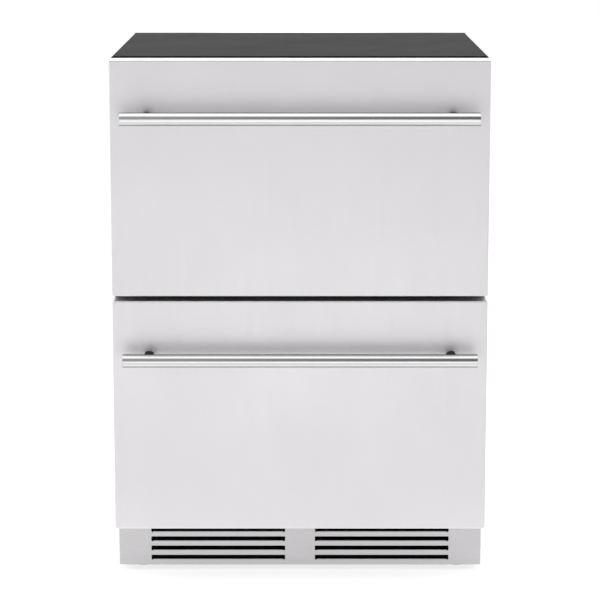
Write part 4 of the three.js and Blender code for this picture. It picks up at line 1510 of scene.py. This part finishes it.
def ring_mark(u, w, r, t, a0=0, a1=360):
    n = 24
    verts, faces = [], []
    for i in range(n + 1):
        a = math.radians(a0 + (a1 - a0) * i / n)
        for k in (r - t, r):
            for h in (-0.1, 0.12):
                p = Vector((-203, 812)) + slope * (w + k * math.sin(a)) + outward * h
                verts.append((u + k * math.cos(a), p.x, p.y))
    for i in range(n):
        a, b = i * 4, (i + 1) * 4
        faces += [(a, b, b + 1, a + 1), (a + 2, a + 3, b + 3, b + 2), (a + 1, b + 1, b + 3, a + 3), (a, a + 2, b + 2, b)]
    if a1 - a0 < 359:
        faces += [(0, 1, 3, 2), (4 * n, 4 * n + 2, 4 * n + 3, 4 * n + 1)]
    return verts, faces


s = Shape()
w = 7.4
s.add(ring_mark(176, w, 2.4, 0.5, -60, 240))
s.add(mark(175.75, 176.25, w - 3.2, w - 0.4))
s.add(mark(189.5, 194.5, w - 0.25, w + 0.25))
s.add(mark(229.5, 234.5, w - 0.25, w + 0.25))
s.add(mark(231.75, 232.25, w - 2.5, w - 0.25)).add(mark(231.75, 232.25, w + 0.25, w + 2.5))


def segment_digit(u, w, shape_on):
    """A seven-segment figure 4 mm wide and 6.4 mm high, its top at w."""
    t = 0.55
    where = {
        "a": (u + 0.3, u + 3.7, w, w + t), "g": (u + 0.3, u + 3.7, w + 2.9, w + 2.9 + t),
        "d": (u + 0.3, u + 3.7, w + 5.8, w + 5.8 + t), "f": (u, u + t, w + 0.4, w + 2.8),
        "b": (u + 4 - t, u + 4, w + 0.4, w + 2.8), "e": (u, u + t, w + 3.5, w + 5.8),
        "c": (u + 4 - t, u + 4, w + 3.5, w + 5.8),
    }
    for k in shape_on:
        s.add(mark(*where[k]))


segment_digit(203.5, 4.0, "abgcd")
segment_digit(209.5, 4.0, "abfgcd")
s.add(ring_mark(216.2, 4.9, 0.9, 0.4, 0, 360))
piece("control_panel_marks", s, "cabinet", MARKS)


# ================================================================ machine compartment
s = Shape()
profile = [(0, 36), (34, 36.4), (46, 38.5), (58, 43.5), (67, 51), (72.4, 60), (75, 72), (76, 88), (76, 99.2),
           (76.6, 100.4), (79.2, 101.2), (80, 102.2), (80, 105.8), (79.2, 106.8), (76.6, 107.6), (76, 108.8),
           (76, 124), (75, 140), (72, 151.5), (66, 161), (57, 168.5), (45, 174.3), (30, 178.4), (14, 179.8), (0, 180)]
s.add(lathe(profile, "z", (140, 205, 0), 72, squeeze=(1, 0.88)))
s.add(rbox(55, 225, 150, 260, 26, 29, 1.0, 2, 8))
s.add(rbox(95, 185, 165, 245, 27, 50, 3, 3, 8))
for x, y in ((66, 160), (66, 250), (214, 160), (214, 250)):
    s.add(lathe([(0, 13.5), (8.4, 13.5), (9, 14.2), (9, 17.4), (7.6, 18.4), (7.6, 19.6), (9, 20.6), (9, 24.2),
                 (8.4, 25.4), (6.6, 26.5), (0, 26.5)], "z", (x, y, 0), 28))
    s.add(lathe([(0, 28.6), (6, 28.6), (6, 30.2), (5.2, 31), (3.4, 31), (3.4, 33), (0, 33.4)], "z", (x, y, 0), 20))
s.add(rbox(110, 170, 128, 160, 80, 130, 3, 4, 5))
s.add(rbox(113, 167, 126.6, 130, 84, 126, 1.2, 2, 4))
s.add(tube([(175, 250, 130), (175, 262, 130), (175, 272, 130)], 5, 20))
s.add(tube([(80, 205, 130), (64, 205, 130), (48, 205, 130)], 4, 18))
piece("compressor_finish", s, "cabinet", COMPRESSOR_PAINT, "compressor", angle=40)

s = coil(-236, -38, (-162.5, -153, -143.5), (24, 37.5, 51, 64.5, 78), 66, (-171.8, -134.2, 15.5, 86.5, 0.35), 3.0)
for x0, x1 in ((-243.5, -242.2), (-31.8, -30.5)):
    s.add(rbox(x0, x1, -172, -134, 14, 88, 0.4, 2))
piece("condenser_coil_finish", s, "cabinet", COIL_BLACK, "condenser_coil", angle=35)

s = Shape()
s.add(plate(lambda g: slot_outline(-248, -26, 14, 88, 3, g), [lambda g: circle_outline(-137, 51, 34, g, 48)],
            "y", -133.5, -131.5, 0.3))
duct = [(34, -133.2), (34, -106.4), (34.4, -106), (35.6, -106), (36, -106.4), (36, -133.2)]
s.add(ring_lathe(duct, "y", (-137, 0, 51), 56))
s.add(lathe([(0, -126), (1.6, -126), (2, -125.6), (2, -121), (13.6, -121), (15, -119.6), (15, -107.2), (14, -106),
             (0, -106)], "y", (-137, 0, 51), 36))
for a in (45, 135, 225, 315):
    c, d = math.cos(math.radians(a)), math.sin(math.radians(a))
    path = [(-137 + c * 14, -107.6, 51 + d * 14), (-137 + c * 24, -107.6, 51 + d * 24),
            (-137 + c * 34.8, -107.6, 51 + d * 34.8)]
    s.add(tube(path, 1.5, 10))
piece("condenser_fan_shroud_finish", s, "cabinet", BLACK_PLASTIC, "condenser_fan_shroud")

s = Shape()
rings = []
for d, z in ((3.0, 14.0), (1.2, 14.5), (0.2, 16.0), (0, 18.0), (0, 43.5), (-0.0, 45.4), (0.5, 46.0), (1.6, 46.0),
             (2.0, 45.5), (2.0, 18.4), (2.6, 17.0), (4.4, 16.0)):
    rings.append((-285 + d, -70 - d, 95 + d, 230 - d, 9 - d, z))
s.add(loft(rings, "z", 6))
piece("drain_pan_finish", s, "cabinet", BLACK_PLASTIC, "drain_pan")

s = Shape()
s.add(rbox(-212, -92, 242, 318, 17, 84, 2.5, 3, 4))
s.add(rbox(-212.0, -92.0, 242, 318, 84.8, 92, 2.2, 3, 4))
s.add(rbox(-210.6, -93.4, 243.4, 316.6, 83, 86, 0.8, 2, 3))
s.add(rbox(-218, -86, 250, 310, 13.6, 17.4, 0.8, 2, 4))
for x in (-190, -152, -114):
    s.add(rbox(x - 9, x + 9, 239.2, 243, 28, 40, 0.8, 2, 1.2))
for x in (-204, -100):
    for y in (250, 310):
        s.add(lathe([(0, 91), (3.4, 91), (3.4, 92.0), (2.4, 92.0), (0, 91.6)], "z", (x, y, 0), 16))
piece("electronics_box_finish", s, "cabinet", GREY_PLASTIC, "electronics_box")

LINES = {
    "discharge_line": (3.0, [
        (47.2, 205, 130), (38, 205, 130), (20, 186, 108), (14, 120, 62), (10, 40, 60), (2, -60, 70), (-8, -130, 76),
        (-14, -151, 76), (-25.2, -151, 76)]),
    "liquid_line": (2.4, [
        (-25.2, -151, 26), (-8, -151, 26), (20, -120, 26), (28, -40, 26), (30, 60, 26), (30, 130, 28), (30, 190, 28),
        (34, 240, 30), (60, 280, 45), (140, 299, 90), (176, 299, 140), (184, 298, 185), (184, 298, 300),
        (184, 298, 580), (190, 294, 602), (197, 283, 606), (197, 272, 606)]),
    "suction_line": (3.6, [
        (175, 272.4, 130), (175, 281, 130), (181, 292, 138), (198, 298, 162), (198, 298, 200), (198, 298, 300),
        (198, 298, 590), (198, 292, 614), (198, 272, 620)]),
}
for name, (r, points) in LINES.items():
    s = Shape()
    s.add(tube(smooth_path(points, 10), r, 14))
    if name == "liquid_line":
        s.add(lathe([(0, 95), (2.6, 95), (3.0, 97), (5.4, 101), (8.2, 105), (9, 109), (9, 160.5), (8.2, 165),
                     (5.4, 169), (3.0, 173), (2.6, 175), (0, 175)], "y", (30, 0, 27.5), 32))
    piece(f"{name}_finish", s, "cabinet", COPPER, name, angle=40)


# ================================================================ stage, camera, light
scene = bpy.context.scene


def floor():
    """A plain pale floor. It glows less at the sides and close in front, so that the steel stays grey from a corner."""
    mesh = bpy.data.meshes.new("floor")
    mesh.from_pydata([(-9, -4.6, 0), (9, -4.6, 0), (9, 14, 0), (-9, 14, 0)], [], [(0, 1, 2, 3)])
    ob = bpy.data.objects.new("floor", mesh)
    scene.collection.objects.link(ob)
    ob.location.z = -0.0003
    m = bpy.data.materials.new("pale_floor")
    m.use_nodes = True
    n = Nodes(m.node_tree)
    out = n.new("ShaderNodeOutputMaterial")
    matt = n.new("ShaderNodeBsdfDiffuse")
    matt.inputs["Color"].default_value = rgb(0.5, 0.5, 0.5)
    glow = n.new("ShaderNodeEmission")
    glow.inputs["Color"].default_value = rgb(1, 1, 1)
    coord = n.new("ShaderNodeTexCoord")
    xyz = n.new("ShaderNodeSeparateXYZ")
    n.link(coord.outputs["Object"], xyz.inputs["Vector"])
    x, y, z = xyz.outputs
    lane = n.range(n.math("ABSOLUTE", x), 0.35, 0.85, 1.0, 0.0, True)
    near = n.range(y, -0.65, -0.45, 0.06, 0.32, True)
    far = n.range(y, -1.6, -1.05, 0.38, 0.0, True)
    n.link(n.math("MULTIPLY_ADD", lane, n.math("ADD", near, far), 0.46), glow.inputs["Strength"])
    both = n.new("ShaderNodeAddShader")
    n.link(matt.outputs[0], both.inputs[0])
    n.link(glow.outputs[0], both.inputs[1])
    n.link(both.outputs[0], out.inputs["Surface"])
    mesh.materials.append(m)


floor()


def studio():
    """A white studio: bright overhead, sides and back, and a darker low front that the steel reflects, fading from left to right."""
    world = bpy.data.worlds.new("studio")
    world.use_nodes = True
    scene.world = world
    n = Nodes(world.node_tree)
    out = n.new("ShaderNodeOutputWorld")
    coord = n.new("ShaderNodeTexCoord")
    xyz = n.new("ShaderNodeSeparateXYZ")
    n.link(coord.outputs["Generated"], xyz.inputs["Vector"])
    x, y, z = xyz.outputs
    front = n.range(n.math("MULTIPLY", y, -1.0), 0.0, 0.55, 0.0, 1.0, True)
    low = n.math("MULTIPLY", n.range(z, 0.0, 0.05, 0.0, 1.0, True), n.range(z, 0.72, 0.94, 1.0, 0.0, True))
    dark = n.range(x, -0.2, 0.16, 0.43, 0.06, True)
    over = n.range(z, 0.6, 0.95, 1.0, 1.1, True)
    light = n.math("MULTIPLY_ADD", n.math("MULTIPLY", front, low), n.math("SUBTRACT", dark, 1.0), over)
    below = n.math("MULTIPLY", front, n.range(z, -0.02, 0.0, 1.0, 0.0, True))
    light = n.math("MULTIPLY_ADD", below, -0.22, light)
    back = n.new("ShaderNodeBackground")
    n.link(n.math("MULTIPLY", light, 1.36), back.inputs["Strength"])
    back.inputs["Color"].default_value = rgb(1, 1, 1)
    seen = n.new("ShaderNodeBackground")
    seen.inputs["Color"].default_value = rgb(1, 1, 1)
    seen.inputs["Strength"].default_value = 1.0
    ray = n.new("ShaderNodeLightPath")
    mix = n.new("ShaderNodeMixShader")
    n.link(ray.outputs["Is Camera Ray"], mix.inputs["Fac"])
    n.link(back.outputs[0], mix.inputs[1])
    n.link(seen.outputs[0], mix.inputs[2])
    n.link(mix.outputs[0], out.inputs["Surface"])


studio()

scene.view_settings.view_transform = "Standard"
scene.view_settings.look = "None"

camera = bpy.data.objects.new("camera", bpy.data.cameras.new("camera"))
scene.collection.objects.link(camera)
camera.location = (0.0, -4.0, 1.160)
camera.rotation_euler = (math.radians(90 - 10.40), 0, 0)
camera.data.sensor_width = 36
camera.data.lens = 2350 / 600 * 36
camera.data.clip_start = 0.05
camera.data.clip_end = 200
scene.camera = camera
